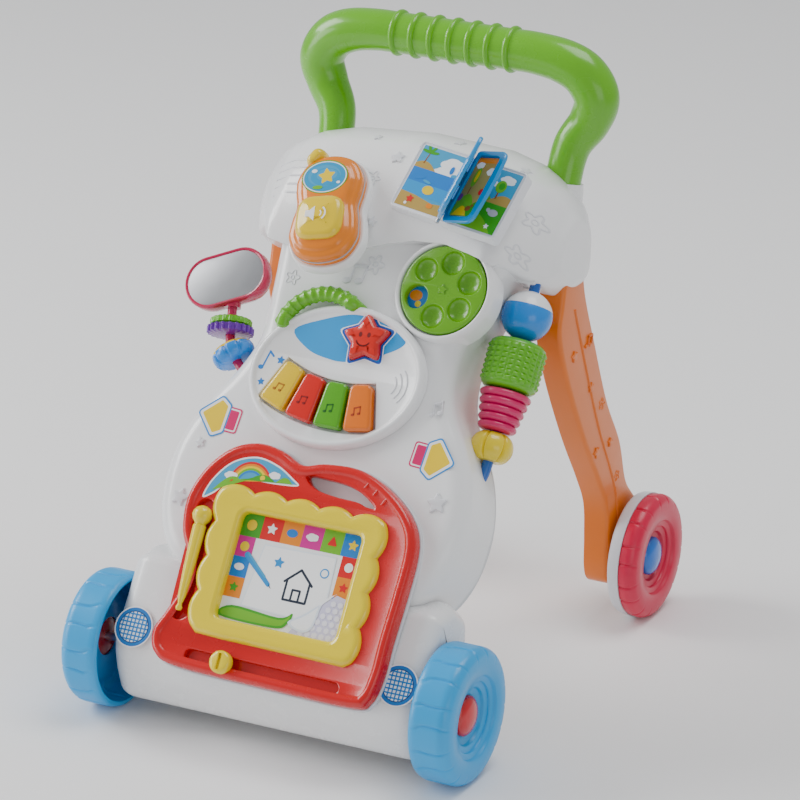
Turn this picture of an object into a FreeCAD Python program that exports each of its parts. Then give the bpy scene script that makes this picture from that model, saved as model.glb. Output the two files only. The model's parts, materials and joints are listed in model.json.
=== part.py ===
import FreeCAD, Part
import math
import os

V = FreeCAD.Vector
NODES = {}

# Driving dimensions, millimetres and degrees. The frame stands on the floor at z = 0, the walker's
# front faces -Y, and the origin is under the middle of the whole object.
DIMENSIONS = {
    "front_wheel_radius": 50,
    "rear_wheel_radius": 48,
    "front_axle_y": -162,
    "rear_axle_y": 164,
    "front_wheel_outer_x": 157,
    "front_wheel_width": 30.5,
    "rear_wheel_outer_x": 149,
    "rear_tyre_width": 13.5,
    "rear_disc_width": 10,
    "axle_radius": 3,
    "running_clearance": 0.06,
    "body_gap": 0.4,
    "panel_tilt": 34,
    "panel_y": -96,
    "panel_z": 208,
    "shell_depth": 56,
    "wall": 3,
    "base_half_width": 124,
    "base_bottom_z": 15,
    "deck_tilt": 45,
    "deck_y": -29,
    "deck_z": 341,
    "console_half_width": 122,
    "handle_radius": 15.5,
    "handle_wall": 2.6,
    "grip_ring_radius": 2,
    "grip_ring_pitch": 13,
    "leg_outer_x": 121,
    "leg_thickness": 18,
    "dial_radius": 32.5,
    "dimple_circle_radius": 20.5,
    "dimple_radius": 8.5,
    "board_s": -172.3,
    "board_face": 14,
    "board_back": 3.3,
    "window_width": 97,
    "window_height": 78.5,
    "music_long_radius": 69,
    "music_short_radius": 53,
    "music_face": 9,
    "key_inner_radius": 104,
    "key_outer_radius": 138,
    "key_pitch": 10.2,
    "star_radius": 19.5,
    "phone_thickness": 19,
    "book_width": 90,
    "book_height": 56,
    "page_width": 36,
    "page_height": 60,
    "bead_rod_radius": 4,
    "bead_rod_x": 110,
    "bead_rod_depth": -40,
    "ring_rod_radius": 3.5,
    "ring_rod_depth": -16,
    "mirror_length": 66,
    "mirror_height": 40,
    "sticker_radius": 15.5,
    "sticker_thickness": 0.4,
}

os.makedirs("parts", exist_ok=True)
doc = FreeCAD.newDocument("baby_walker")
sheet = doc.addObject("Spreadsheet::Sheet", "Dims")
for row, (alias, value) in enumerate(DIMENSIONS.items(), start=1):
    sheet.set("A%d" % row, alias)
    sheet.set("B%d" % row, str(value))
    sheet.setAlias("B%d" % row, alias)
doc.recompute()


def dim(alias):
    """Value of a driving dimension as the sheet holds it."""
    return float(sheet.get(alias))


def place(x=0.0, y=0.0, z=0.0, axis=(0, 0, 1), angle=0.0):
    return FreeCAD.Placement(V(x, y, z), FreeCAD.Rotation(V(*axis), angle))


# The sloping front panel: local x to the walker's right, y up the slope, z out of its face.
PANEL = place(0, dim("panel_y"), dim("panel_z"), (1, 0, 0), 90 - dim("panel_tilt"))
# The console's deck, with the same local axes on a flatter slope.
DECK = place(0, dim("deck_y"), dim("deck_z"), (1, 0, 0), 90 - dim("deck_tilt"))
# The drawing board lies on the panel, its own origin near the slot of its eraser.
BOARD = PANEL.multiply(place(0, dim("board_s"), 0))
WORLD = place()


# ---------------------------------------------------------------- helpers

def bind(obj, expressions):
    for prop, expression in expressions.items():
        obj.setExpression(prop, expression)


def primitive(kind, label, expressions, where):
    """A Part primitive whose sizes follow the sheet."""
    obj = doc.addObject("Part::" + kind, label)
    obj.Placement = where
    bind(obj, expressions)
    return obj


def cylinder(label, radius, height, where):
    return primitive("Cylinder", label, {"Radius": radius, "Height": height}, where)


def box(label, length, width, height, where):
    """A box centred on its placement in x and y, standing on it in z."""
    obj = primitive("Box", label, {"Length": length, "Width": width, "Height": height}, where)
    doc.recompute()
    obj.Placement = where.multiply(place(-obj.Length.Value / 2, -obj.Width.Value / 2, 0))
    return obj


def fuse(label, objects):
    obj = doc.addObject("Part::MultiFuse", label)
    obj.Shapes = objects
    return obj


def cut(label, base, tools):
    obj = doc.addObject("Part::Cut", label)
    obj.Base = base
    obj.Tool = tools[0] if len(tools) == 1 else fuse(label + "_tools", tools)
    return obj


def node(obj, label):
    """Registers an object as one named piece of the walker."""
    obj.Label = label
    NODES[label] = obj
    return obj


def feature(label, shape, where=None):
    obj = doc.addObject("Part::Feature", label)
    obj.Shape = shape
    if where is not None:
        obj.Placement = where
    return obj


def body(label, where):
    obj = doc.addObject("PartDesign::Body", label)
    obj.Placement = where
    return obj


def origin_plane(owner, role):
    for item in owner.Origin.OriginFeatures:
        if item.Role == role:
            return item
    raise RuntimeError("no origin plane " + role)


def sketch(owner, role, curves, offset=0.0):
    """A sketch on one of the body's own origin planes, at a distance along its normal."""
    obj = owner.newObject("Sketcher::SketchObject", owner.Label + "_sketch")
    obj.AttachmentSupport = (origin_plane(owner, role), [""])
    obj.MapMode = "FlatFace"
    obj.AttachmentOffset = place(0, 0, offset)
    for curve in curves:
        obj.addGeometry(curve, False)
    return obj


def pad(owner, profile, length, reverse=False, midplane=False):
    obj = owner.newObject("PartDesign::Pad", owner.Label + "_pad")
    obj.Profile = profile
    obj.Reversed = reverse
    obj.Midplane = midplane
    bind(obj, {"Length": length})
    return obj


def pocket(owner, profile, length, reverse=False, midplane=False):
    """A pocket that is checked to have removed material."""
    doc.recompute()
    before = owner.Shape.Volume
    obj = owner.newObject("PartDesign::Pocket", owner.Label + "_pocket")
    obj.Profile = profile
    obj.Reversed = reverse
    obj.Midplane = midplane
    bind(obj, {"Length": length})
    doc.recompute()
    if owner.Shape.Volume > before - 0.5:
        raise RuntimeError("pocket cut nothing in " + owner.Label)
    return obj


def revolved_body(label, points, where):
    """A closed (x, radius) profile turned about the body's own X axis."""
    owner = body(label, where)
    profile = sketch(owner, "XY_Plane", polygon(points))
    turn = owner.newObject("PartDesign::Revolution", label + "_turn")
    turn.Profile = profile
    turn.ReferenceAxis = (profile, ["H_Axis"])
    turn.Angle = 360
    return owner


def polygon(points):
    count = len(points)
    edges = []
    for index in range(count):
        start = points[index]
        end = points[(index + 1) % count]
        edges.append(Part.LineSegment(V(start[0], start[1], 0), V(end[0], end[1], 0)))
    return edges


def circle(x, y, radius):
    return [Part.Circle(V(x, y, 0), V(0, 0, 1), radius)]


def smooth_loop(points):
    """One closed spline through the points."""
    curve = Part.BSplineCurve()
    curve.interpolate([V(x, y, 0) for x, y in points], PeriodicFlag=True)
    return curve


def mirrored(points):
    """A right-hand outline and its mirror image, as one closed list."""
    left = [(-x, y) for x, y in reversed(points) if abs(x) > 1e-6]
    return points + left


def inset(points, distance):
    """The closed outline moved inwards, or outwards with a negative distance."""
    count = len(points)
    area = 0.0
    for index in range(count):
        x0, y0 = points[index]
        x1, y1 = points[(index + 1) % count]
        area += x0 * y1 - x1 * y0
    side = 1.0 if area > 0 else -1.0
    moved = []
    for index in range(count):
        x0, y0 = points[index - 1]
        x1, y1 = points[(index + 1) % count]
        length = math.hypot(x1 - x0, y1 - y0)
        normal_x = -(y1 - y0) / length * side
        normal_y = (x1 - x0) / length * side
        x, y = points[index]
        moved.append((x + normal_x * distance, y + normal_y * distance))
    return moved


def rounded_rectangle(width, height, radius, x=0.0, y=0.0):
    """Four lines and four quarter arcs about a centre."""
    a = width / 2 - radius
    b = height / 2 - radius
    q = radius * math.sqrt(0.5)
    corners = [(a, b, 1, 1), (-a, b, -1, 1), (-a, -b, -1, -1), (a, -b, 1, -1)]
    edges = []
    ends = []
    for cx, cy, sx, sy in corners:
        along_x = V(x + cx + sx * radius, y + cy, 0)
        along_y = V(x + cx, y + cy + sy * radius, 0)
        middle = V(x + cx + sx * q, y + cy + sy * q, 0)
        first, last = (along_x, along_y) if sx * sy > 0 else (along_y, along_x)
        edges.append(Part.Arc(first, middle, last))
        ends.append((first, last))
    for index in range(4):
        edges.append(Part.LineSegment(ends[index][1], ends[(index + 1) % 4][0]))
    return edges


def capsule(x0, y0, x1, y1, radius):
    """The outline of a slot with round ends."""
    length = math.hypot(x1 - x0, y1 - y0)
    ux = (x1 - x0) / length
    uy = (y1 - y0) / length
    left = V(-uy * radius, ux * radius, 0)
    along = V(ux * radius, uy * radius, 0)
    start = V(x0, y0, 0)
    end = V(x1, y1, 0)
    return [
        Part.LineSegment(start - left, end - left),
        Part.Arc(end - left, end + along, end + left),
        Part.LineSegment(end + left, start + left),
        Part.Arc(start + left, start - along, start - left),
    ]


def face_of(curves):
    edges = Part.__sortEdges__([curve.toShape() for curve in curves])
    return Part.Face(Part.Wire(edges))


def prism(curves, low, high, where=FreeCAD.Placement()):
    """The outline's solid between two heights of a local frame."""
    solid = face_of(curves).extrude(V(0, 0, high - low))
    solid.Placement = where.multiply(place(0, 0, low))
    return solid


def rounded_path(points, radii):
    """Straight runs joined by tangent arcs of the given radii at the inner points."""
    edges = []
    start = points[0]
    for index in range(1, len(points) - 1):
        corner = points[index]
        back = (points[index - 1] - corner).normalize()
        ahead = (points[index + 1] - corner).normalize()
        half = back.getAngle(ahead) / 2
        radius = radii[index - 1]
        run = radius / math.tan(half)
        enter = corner + back * run
        leave = corner + ahead * run
        bisector = (back + ahead).normalize()
        middle = corner + bisector * (radius / math.sin(half) - radius)
        edges.append(Part.LineSegment(start, enter).toShape())
        edges.append(Part.Arc(enter, middle, leave).toShape())
        start = leave
    edges.append(Part.LineSegment(start, points[-1]).toShape())
    return Part.Wire(edges)


def tube(path, radius):
    """A round bar swept along a path."""
    first = path.Edges[0]
    direction = first.tangentAt(first.FirstParameter)
    ring = Part.Wire([Part.makeCircle(radius, first.valueAt(first.FirstParameter), direction)])
    return path.makePipe(Part.Face(ring))


def at_x(outer_x, side):
    """A wheel's frame: local x runs outwards, so the left wheel is turned half a turn."""
    return place(side * outer_x, 0, 0, (0, 0, 1), 0 if side > 0 else 180)


# ---------------------------------------------------------------- panel shell

# The panel's right-hand outline: a wide lobe below, a waist, and a head inside the console.
PANEL_OUTLINE = [(92, 158), (86, 124), (81, 95), (81, 62), (88, 40), (104, 15), (115, -8),
                 (121, -35), (119, -68), (107, -95), (88, -110), (50, -114), (0, -114)]


def panel_wire(distance):
    """The panel's closed outline: one spline round the sides and the bottom, and a straight top."""
    closed = inset(mirrored(PANEL_OUTLINE), distance)
    count = len(PANEL_OUTLINE)
    right = closed[:count]
    top_x = PANEL_OUTLINE[0][0] - distance
    top_s = PANEL_OUTLINE[0][1] - distance
    right[0] = (top_x, top_s)
    around = right + [(-x, y) for x, y in reversed(right[:-1])]
    spline = Part.BSplineCurve()
    spline.interpolate([V(x, y, 0) for x, y in around])
    return [spline, Part.LineSegment(V(-top_x, top_s, 0), V(top_x, top_s, 0))]


DIAL_X = 62
DIAL_S = 121
MUSIC_X = -1.4
MUSIC_S = 45
MUSIC_TURN = 6.5
BATTERY_LENGTH = 84
BATTERY_WIDTH = 46
# How far the panel shell and its cover reach back, and the room left round them in the base and console.
PANEL_BACK = -dim("shell_depth") - dim("wall")
PANEL_ROOM = 0.05
DISC_ROOM = 0.3
SCOOP_LOW = 8
SCOOP_RADIUS = 17

# The shell's face is rounded at its edge: each level is the outline moved in a little further.
EDGE_LEVELS = [(0, -dim("shell_depth")), (0, -8), (1.2, -4), (3.6, -1.2), (8, 0)]
levels = []
for distance, height in EDGE_LEVELS:
    level = Part.Wire([curve.toShape() for curve in panel_wire(distance)])
    level.translate(V(0, 0, height))
    levels.append(level)
shell = Part.makeLoft(levels, True, True)
void = prism(panel_wire(dim("wall")), -dim("shell_depth"), -dim("wall"))
# The right shoulder is scooped out round the lowest bead, and the wall follows the scoop.
scoop_foot = V(dim("bead_rod_x"), SCOOP_LOW, dim("bead_rod_depth"))
scoop = Part.makeCylinder(SCOOP_RADIUS, 50, scoop_foot, V(0, 1, 0))
liner_foot = scoop_foot - V(0, dim("wall"), 0)
scoop_liner = Part.makeCylinder(SCOOP_RADIUS + dim("wall"), 53 + dim("wall"), liner_foot, V(0, 1, 0))
shell = shell.cut(scoop).cut(void.cut(scoop_liner))
dial_opening = prism(circle(DIAL_X, DIAL_S, dim("dial_radius") + 2 + DISC_ROOM), -20, 5)
battery_opening = prism(rounded_rectangle(BATTERY_LENGTH + 1, BATTERY_WIDTH + 1, 5), -20, 5,
                        place(MUSIC_X, MUSIC_S, 0, (0, 0, 1), MUSIC_TURN))
shell = shell.cut(dial_opening).cut(battery_opening)

# ---------------------------------------------------------------- rods at the two sides

ROD_X = dim("bead_rod_x")
ROD_N = dim("bead_rod_depth")
bead_path = rounded_path(
    [V(106, -22, ROD_N), V(ROD_X, 2, ROD_N), V(ROD_X, 144, ROD_N), V(102, 166, ROD_N)], [20, 20])
bead_rod = tube(bead_path, dim("bead_rod_radius"))
RING_N = dim("ring_rod_depth")
RING_CORNER = V(-88, 40, RING_N)
RING_KNEE = V(-103.8, 58, RING_N)
RING_TOP = V(-111, 93.3, RING_N)
ring_path = rounded_path([V(-74, 40, RING_N), RING_CORNER, RING_KNEE, RING_TOP], [10, 15])
ring_rod = tube(ring_path, dim("ring_rod_radius"))
shell = shell.cut(bead_rod).cut(ring_rod)
node(feature("front_shell", shell, PANEL), "front_shell")
node(feature("bead_rod", bead_rod, PANEL), "bead_rod")
node(feature("ring_rod", ring_rod, PANEL), "ring_rod")

back_plate = body("back_plate", PANEL)
pad(back_plate, sketch(back_plate, "XY_Plane", panel_wire(0), -dim("shell_depth")), "Dims.wall", True)
cover_scoop = primitive("Cylinder", "cover_scoop", {"Height": "50"},
                        PANEL.multiply(place(ROD_X, SCOOP_LOW, ROD_N, (1, 0, 0), -90)))
cover_scoop.Radius = SCOOP_RADIUS
node(cut("back_cover", back_plate, [cover_scoop]), "back_cover")

SCREWS = [(70, 125), (68, 60), (104, -40), (-104, -40), (-68, 60), (-70, 125)]
heads = []
for number, (screw_x, screw_s) in enumerate(SCREWS):
    where = PANEL.multiply(place(screw_x, screw_s, -dim("shell_depth") - dim("wall"), (1, 0, 0), 180))
    head = primitive("Sphere", "screw_head_%d" % number, {"Angle1": "0"}, where)
    head.Radius = 3
    heads.append(head)
node(fuse("case_screws", heads), "case_screws")

# ---------------------------------------------------------------- base

# The base's side profile in (y, z): its face carries on the panel's slope, then rolls under.
slope = math.tan(math.radians(dim("panel_tilt")))


def panel_y_at(z):
    return dim("panel_y") + (z - dim("panel_z")) * slope


BASE_TOP_Z = 118
BASE_ROLL_Z = 66
BASE_BACK_Y = -112


def base_profile(distance, bottom):
    """The base's closed side outline, moved in by a wall where that is asked for."""
    top_y = panel_y_at(BASE_TOP_Z) + distance * 1.2
    roll_y = panel_y_at(BASE_ROLL_Z) + distance * 1.2
    top = V(top_y, BASE_TOP_Z - distance, 0)
    roll = V(roll_y, BASE_ROLL_Z, 0)
    foot = V(-174 + distance, bottom, 0)
    belly = V(-189.5 + distance, 36, 0)
    back_low = V(BASE_BACK_Y - distance, bottom, 0)
    back_top = V(BASE_BACK_Y - distance, 92 - distance, 0)
    return [
        Part.LineSegment(top, roll),
        Part.Arc(roll, belly, foot),
        Part.LineSegment(foot, back_low),
        Part.LineSegment(back_low, back_top),
        Part.LineSegment(back_top, top),
    ]


base = body("base_body", WORLD)
pad(base, sketch(base, "YZ_Plane", base_profile(0, dim("base_bottom_z"))), "2*Dims.base_half_width",
    midplane=True)
cavity = sketch(base, "YZ_Plane", base_profile(dim("wall"), dim("base_bottom_z") - 5))
pocket(base, cavity, "2*Dims.base_half_width-2*Dims.wall", midplane=True)
axle_hole = sketch(base, "YZ_Plane", circle(dim("front_axle_y"), dim("front_wheel_radius"), dim("axle_radius")))
pocket(base, axle_hole, "4*Dims.base_half_width", midplane=True)
lobe_block = feature("lobe_block", prism(panel_wire(-PANEL_ROOM), PANEL_BACK - PANEL_ROOM, PANEL_ROOM, PANEL))
node(cut("base_shell", base, [lobe_block]), "base_shell")

plate = body("base_plate", place(0, 0, dim("base_bottom_z")))
PLATE_LENGTH = 2 * (dim("base_half_width") - dim("wall")) - 0.2
plate_outline = rounded_rectangle(PLATE_LENGTH, 54, 4, 0, -143)
pad(plate, sketch(plate, "XY_Plane", plate_outline), "Dims.wall")
node(plate, "base_plate")

front_axle = cylinder("front_axle", "Dims.axle_radius", "2*(Dims.front_wheel_outer_x-11)", WORLD)
front_axle.Placement = place(-(dim("front_wheel_outer_x") - 11), dim("front_axle_y"),
                             dim("front_wheel_radius"), (0, 1, 0), 90)
node(front_axle, "front_axle")

# ---------------------------------------------------------------- wheels

CLEAR_BORE = dim("axle_radius") + dim("running_clearance")
CAP_RADIUS = 15
STEP_RINGS = [(29, 30), (26, 26), (24, 22), (22, 18)]


def wheel_face(width, radius, rim):
    """The outer side of a tyre: rounded shoulder, sloping side and stepped rings to the hub."""
    points = []
    shoulder = 7
    for step in range(6):
        angle = math.radians(90 - 18 * step)
        points.append((width - shoulder + shoulder * math.cos(angle), radius - shoulder + shoulder * math.sin(angle)))
    depth = 0.0
    for ring in rim:
        points.append((width - depth - 1.2, ring))
        depth += 1.8
        points.append((width - depth - 1.2, ring))
    return points


def front_tyre_profile():
    width = dim("front_wheel_width")
    radius = dim("front_wheel_radius")
    points = [(0, 45.2), (0, 47.4), (2.5, 49.2), (6, radius)]
    points += wheel_face(width, radius, [32, 27.5, 23, 18.5])
    hub_x = width - 9.6
    points += [(hub_x, 18.5), (hub_x, CLEAR_BORE), (1.8, CLEAR_BORE), (1.8, 8), (hub_x - 3, 8)]
    points += [(hub_x - 3, 30), (width - 4.5, 40), (width - 7, 46.6), (6, 46.6)]
    return remove_repeats(points)


def remove_repeats(points):
    kept = []
    for point in points:
        if not kept or math.hypot(point[0] - kept[-1][0], point[1] - kept[-1][1]) > 1e-6:
            kept.append(point)
    return kept


def dome(x, radius, height):
    """A cap's profile: a flat back and a crowned face."""
    points = [(x, 0), (x, radius), (x + 1.2, radius)]
    for step in range(1, 7):
        angle = math.radians(15 * step)
        points.append((x + 1.2 + (height - 1.2) * math.sin(angle), radius * math.cos(angle)))
    points[-1] = (x + height, 0)
    return points


for side, name in ((1, "right"), (-1, "left")):
    inner_x = dim("front_wheel_outer_x") - dim("front_wheel_width")
    where = at_x(inner_x, side)
    where.Base = V(side * inner_x, dim("front_axle_y"), dim("front_wheel_radius"))
    label = "front_%s_tyre" % name
    node(revolved_body(label + "_body", front_tyre_profile(), where), label)
    cap = dome(dim("front_wheel_width") - 9.6, CAP_RADIUS, 7)
    label = "front_%s_hub_cap" % name
    node(revolved_body(label + "_body", cap, where), label)

rear_inner_x = dim("rear_wheel_outer_x") - dim("rear_tyre_width") - dim("rear_disc_width")
for side, name in ((1, "right"), (-1, "left")):
    where = at_x(rear_inner_x, side)
    where.Base = V(side * rear_inner_x, dim("rear_axle_y"), dim("rear_wheel_radius"))
    disc_width = dim("rear_disc_width")
    disc_radius = dim("rear_wheel_radius") - 0.8
    disc = [(0, CLEAR_BORE), (0, disc_radius - 1.5), (1.5, disc_radius), (disc_width, disc_radius),
            (disc_width, CLEAR_BORE)]
    label = "rear_%s_disc" % name
    node(revolved_body(label + "_body", disc, where), label)
    width = disc_width + dim("rear_tyre_width")
    hub_x = width - 9.6
    tyre = [(disc_width, CLEAR_BORE), (disc_width, dim("rear_wheel_radius"))]
    tyre += wheel_face(width, dim("rear_wheel_radius"), [31, 26.5, 22, 17.5])
    tyre += [(hub_x, 17.5), (hub_x, CLEAR_BORE)]
    label = "rear_%s_tyre" % name
    node(revolved_body(label + "_body", remove_repeats(tyre), where), label)
    label = "rear_%s_hub_cap" % name
    node(revolved_body(label + "_body", dome(hub_x, CAP_RADIUS, 7), where), label)

# ---------------------------------------------------------------- rear legs

# The leg in (y, z): a leaning S from the console down to a round foot at the axle.
LEG_FRONT = [(24, 312), (33, 284), (53, 222), (83, 167), (111, 124), (126, 92), (127, 60), (133, 36)]
LEG_BACK = [(200, 44), (194, 74), (166, 104), (146, 145), (123, 186), (100, 238), (82, 281), (72, 312)]
LEG_BOTTOM = [(150, 26), (172, 24)]


def leg_curves(distance):
    outline = LEG_FRONT + LEG_BOTTOM + LEG_BACK
    moved = inset(outline, distance) if distance else outline
    spline = Part.BSplineCurve()
    spline.interpolate([V(y, z, 0) for y, z in moved])
    top = Part.LineSegment(V(moved[-1][0], moved[-1][1], 0), V(moved[0][0], moved[0][1], 0))
    return [spline, top]


def leg_shape(mirror_x):
    """A moulded channel, open on its inner side, with a boss that carries the wheel's stub axle."""
    thickness = dim("leg_thickness")
    outer = prism(leg_curves(0), 0, thickness)
    hollow = prism(leg_curves(dim("wall")), -1, thickness - dim("wall"))
    leg = outer.cut(hollow)
    hub = V(dim("rear_axle_y"), dim("rear_wheel_radius"), 0)
    boss = Part.makeCylinder(11, rear_inner_x - dim("leg_outer_x") + thickness - dim("body_gap"), hub, V(0, 0, 1))
    hole = Part.makeCylinder(dim("axle_radius"), 60, hub - V(0, 0, 20), V(0, 0, 1))
    leg = leg.fuse(boss).cut(hole)
    # Local (x, y, z) becomes (y, z, x) of the walker.
    matrix = FreeCAD.Matrix(0, 0, mirror_x, mirror_x * (dim("leg_outer_x") - thickness),
                            1, 0, 0, 0,
                            0, 1, 0, 0,
                            0, 0, 0, 1)
    return leg.transformGeometry(matrix)


rod_room = tube(bead_path, dim("bead_rod_radius") + PANEL_ROOM)
rod_room.Placement = PANEL
for side, name in ((1, "right"), (-1, "left")):
    node(feature("rear_leg_" + name, leg_shape(side).cut(rod_room)), "rear_leg_" + name)

stubs = []
STUB_REACH = 9.6 + 1.5
for side in (1, -1):
    low = dim("leg_outer_x") - dim("leg_thickness")
    stub = cylinder("stub_%d" % side, "Dims.axle_radius",
                    "Dims.rear_wheel_outer_x-Dims.leg_outer_x+Dims.leg_thickness-%s" % STUB_REACH, WORLD)
    stub.Placement = place(side * low, dim("rear_axle_y"), dim("rear_wheel_radius"), (0, 1, 0), 90 * side)
    stubs.append(stub)
node(fuse("rear_axles", stubs), "rear_axles")

# ---------------------------------------------------------------- push handle

def handle_path(extra):
    """The handle's centre line from foot to foot: straight necks, swept-out elbows, a level bar."""
    right = [V(93, 88 - extra * 0.2, 326 - extra), V(94, 102, 388), V(121, 111, 424), V(84, 108.5, 450.5)]
    left = [V(-point.x, point.y, point.z) for point in reversed(right)]
    return rounded_path(right + left, [24, 15, 38, 38, 15, 24])


handle_outer = tube(handle_path(0), dim("handle_radius"))
handle_inner = tube(handle_path(2), dim("handle_radius") - dim("handle_wall"))
handle = handle_outer.cut(handle_inner)
for index in range(-3, 4):
    ring_x = index * dim("grip_ring_pitch")
    ring = Part.makeTorus(dim("handle_radius") - 0.6, dim("grip_ring_radius"), V(ring_x, 108.5, 450.5), V(1, 0, 0))
    core = Part.makeCylinder(dim("handle_radius") - 1, 8, V(ring_x - 4, 108.5, 450.5), V(1, 0, 0))
    handle = handle.fuse(ring.cut(core))
node(feature("push_handle", handle), "push_handle")

# ---------------------------------------------------------------- console

# The console's section at mid-width in (y, z), from the lip up the deck and round the back.
SECTION = [(-27, 333), (-33, 339), (-27, 347), (0, 371), (24, 390), (47, 394.5), (83, 386), (111, 365),
           (118, 342), (110, 314), (92, 302), (50, 298), (10, 310)]
CONSOLE_DROOP = 0.0013
CONSOLE_SWEEP = 0.0011


def console_section(x, shrink):
    """The section at one station: it droops and sweeps back towards the ends, where it shrinks."""
    middle_y = 42
    middle_z = 346
    points = []
    for y, z in SECTION:
        scaled_y = middle_y + (y - middle_y) * shrink
        scaled_z = middle_z + (z - middle_z) * shrink
        points.append(V(x, scaled_y + CONSOLE_SWEEP * x * x, scaled_z - CONSOLE_DROOP * x * x))
    curve = Part.BSplineCurve()
    curve.interpolate(points, PeriodicFlag=True)
    return Part.Wire([curve.toShape()])


def console_solid(distance):
    """A loft through mirrored stations, moved in by a wall for the hollow."""
    reach = dim("console_half_width") - distance
    fit = 1 - distance / 40
    stations = [(-1.0, 0.66), (-0.95, 0.82), (-0.84, 0.93), (-0.6, 1.0), (0.0, 1.0),
                (0.6, 1.0), (0.84, 0.93), (0.95, 0.82), (1.0, 0.66)]
    wires = [console_section(fraction * reach, size * fit) for fraction, size in stations]
    return Part.makeLoft(wires, True, False)


panel_block = prism(panel_wire(-PANEL_ROOM), PANEL_BACK - PANEL_ROOM, PANEL_ROOM, PANEL)
console = console_solid(0).cut(console_solid(dim("wall")))
dial_recess = prism(circle(DIAL_X, DIAL_S, dim("dial_radius") + 1.2), -8, 7, PANEL)
console = console.cut(panel_block).cut(handle_outer).cut(dial_recess)
bead_top = tube(bead_path, dim("bead_rod_radius"))
bead_top.Placement = PANEL
console = console.cut(bead_top)
for name in ("right", "left"):
    console = console.cut(NODES["rear_leg_" + name].Shape)

# ---------------------------------------------------------------- phone on the deck

PHONE = DECK.multiply(place(-34, 10.5, 0, (0, 0, 1), 13))
PHONE_OUTLINE = mirrored([(0, -42.5), (17, -38), (25.5, -24.5), (25, -11), (23.4, 1), (25, 13), (24.8, 25),
                          (16, 38), (0, 42.5)])
CRADLE_RIM = 2.6
CRADLE_HEIGHT = 5

cradle = body("phone_cradle", PHONE)
cradle_outline = [smooth_loop(inset(PHONE_OUTLINE, -CRADLE_RIM))]
pad(cradle, sketch(cradle, "XY_Plane", cradle_outline, -2), str(CRADLE_HEIGHT))
cradle_well = sketch(cradle, "XY_Plane", [smooth_loop(inset(PHONE_OUTLINE, -0.5))], CRADLE_HEIGHT - 2)
pocket(cradle, cradle_well, "3")
node(cradle, "phone_cradle")

phone = body("phone_case", PHONE)
pad(phone, sketch(phone, "XY_Plane", [smooth_loop(PHONE_OUTLINE)], dim("body_gap")), "Dims.phone_thickness-5")
crown = [smooth_loop(inset(PHONE_OUTLINE, 4))]
pad(phone, sketch(phone, "XY_Plane", crown, dim("body_gap") + dim("phone_thickness") - 5), "5")
BUTTON_SIZE = 37
BUTTON_S = -11
button_well = rounded_rectangle(BUTTON_SIZE + 0.8, BUTTON_SIZE + 0.8, 9.4, 0, BUTTON_S)
pocket(phone, sketch(phone, "XY_Plane", button_well, dim("body_gap") + dim("phone_thickness")), "9")
node(phone, "phone_case")

button = body("phone_button", PHONE)
button_low = dim("body_gap") + dim("phone_thickness") - 6
button_outline = rounded_rectangle(BUTTON_SIZE, BUTTON_SIZE, 9, 0, BUTTON_S)
pad(button, sketch(button, "XY_Plane", button_outline, button_low), "10")
node(button, "phone_button")

antenna = body("phone_antenna", PHONE)
pad(antenna, sketch(antenna, "XY_Plane", capsule(-13, 43, -9, 46, 6), 4), "8")
node(cut("phone_antenna", antenna, [phone]), "phone_antenna")

cradle_block = prism([smooth_loop(inset(PHONE_OUTLINE, -CRADLE_RIM))], -2.05, 40, PHONE)
console = console.cut(cradle_block)

# ---------------------------------------------------------------- picture book on the deck

BOOK = DECK.multiply(place(57, 45.5, 0, (0, 0, 1), -8.7))
BOOK_TOP = 5
PIN_HEIGHT = 9
PIN_RADIUS = 1.5
PIN_HALF = 33
PAGE_REST = {"left": 61, "right": 27}
PAGE_ROOT = 5.5
KNUCKLES = {"left": [(-23, -12), (0, 11)], "right": [(-11.5, -0.5), (11.5, 23)]}

book = body("book_block", BOOK)
book_outline = rounded_rectangle(dim("book_width"), dim("book_height"), 3)
pad(book, sketch(book, "XY_Plane", book_outline, -2), str(BOOK_TOP + 2))
lugs = []
for low in (-31, 25.5):
    lug = box("book_lug_%d" % abs(low), "6", "5.5", "%s" % (PIN_HEIGHT - BOOK_TOP + 3),
              BOOK.multiply(place(0, low + 2.75, BOOK_TOP - 0.5)))
    lugs.append(lug)
book_whole = fuse("book_whole", [book] + lugs)
pin = cylinder("spine_pin", str(PIN_RADIUS), str(2 * PIN_HALF - 4),
               BOOK.multiply(place(0, -PIN_HALF + 2, PIN_HEIGHT, (1, 0, 0), -90)))
book_block = prism(rounded_rectangle(dim("book_width"), dim("book_height"), 3), -2.05, 40, BOOK)
console = console.cut(book_block)
node(cut("book_base", book_whole, [pin]), "book_base")
node(pin, "book_spine_pin")

for name in ("left", "right"):
    swing = BOOK.multiply(place(0, 0, PIN_HEIGHT, (0, 1, 0), -PAGE_REST[name]))
    leaf = body("leaf_" + name, swing)
    leaf_x = PAGE_ROOT + dim("page_width") / 2
    leaf_outline = rounded_rectangle(dim("page_width"), dim("page_height"), 6, leaf_x, 0)
    pad(leaf, sketch(leaf, "XY_Plane", leaf_outline, -1.3), "2.6")
    pieces = [leaf]
    for number, (low, high) in enumerate(KNUCKLES[name]):
        along = swing.multiply(place(0, low, 0, (1, 0, 0), -90))
        pieces.append(cylinder("knuckle_%s_%d" % (name, number), "3.2", str(high - low), along))
        arm = box("arm_%s_%d" % (name, number), "8", str(high - low), "2.6",
                  swing.multiply(place(4, (low + high) / 2, -1.3)))
        pieces.append(arm)
    bore = cylinder("bore_" + name, "%s+Dims.running_clearance" % PIN_RADIUS, "80",
                    BOOK.multiply(place(0, -40, PIN_HEIGHT, (1, 0, 0), -90)))
    node(cut("book_page_" + name, fuse("page_whole_" + name, pieces), [bore]), "book_page_" + name)

node(feature("console_shell", console), "console_shell")

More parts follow.
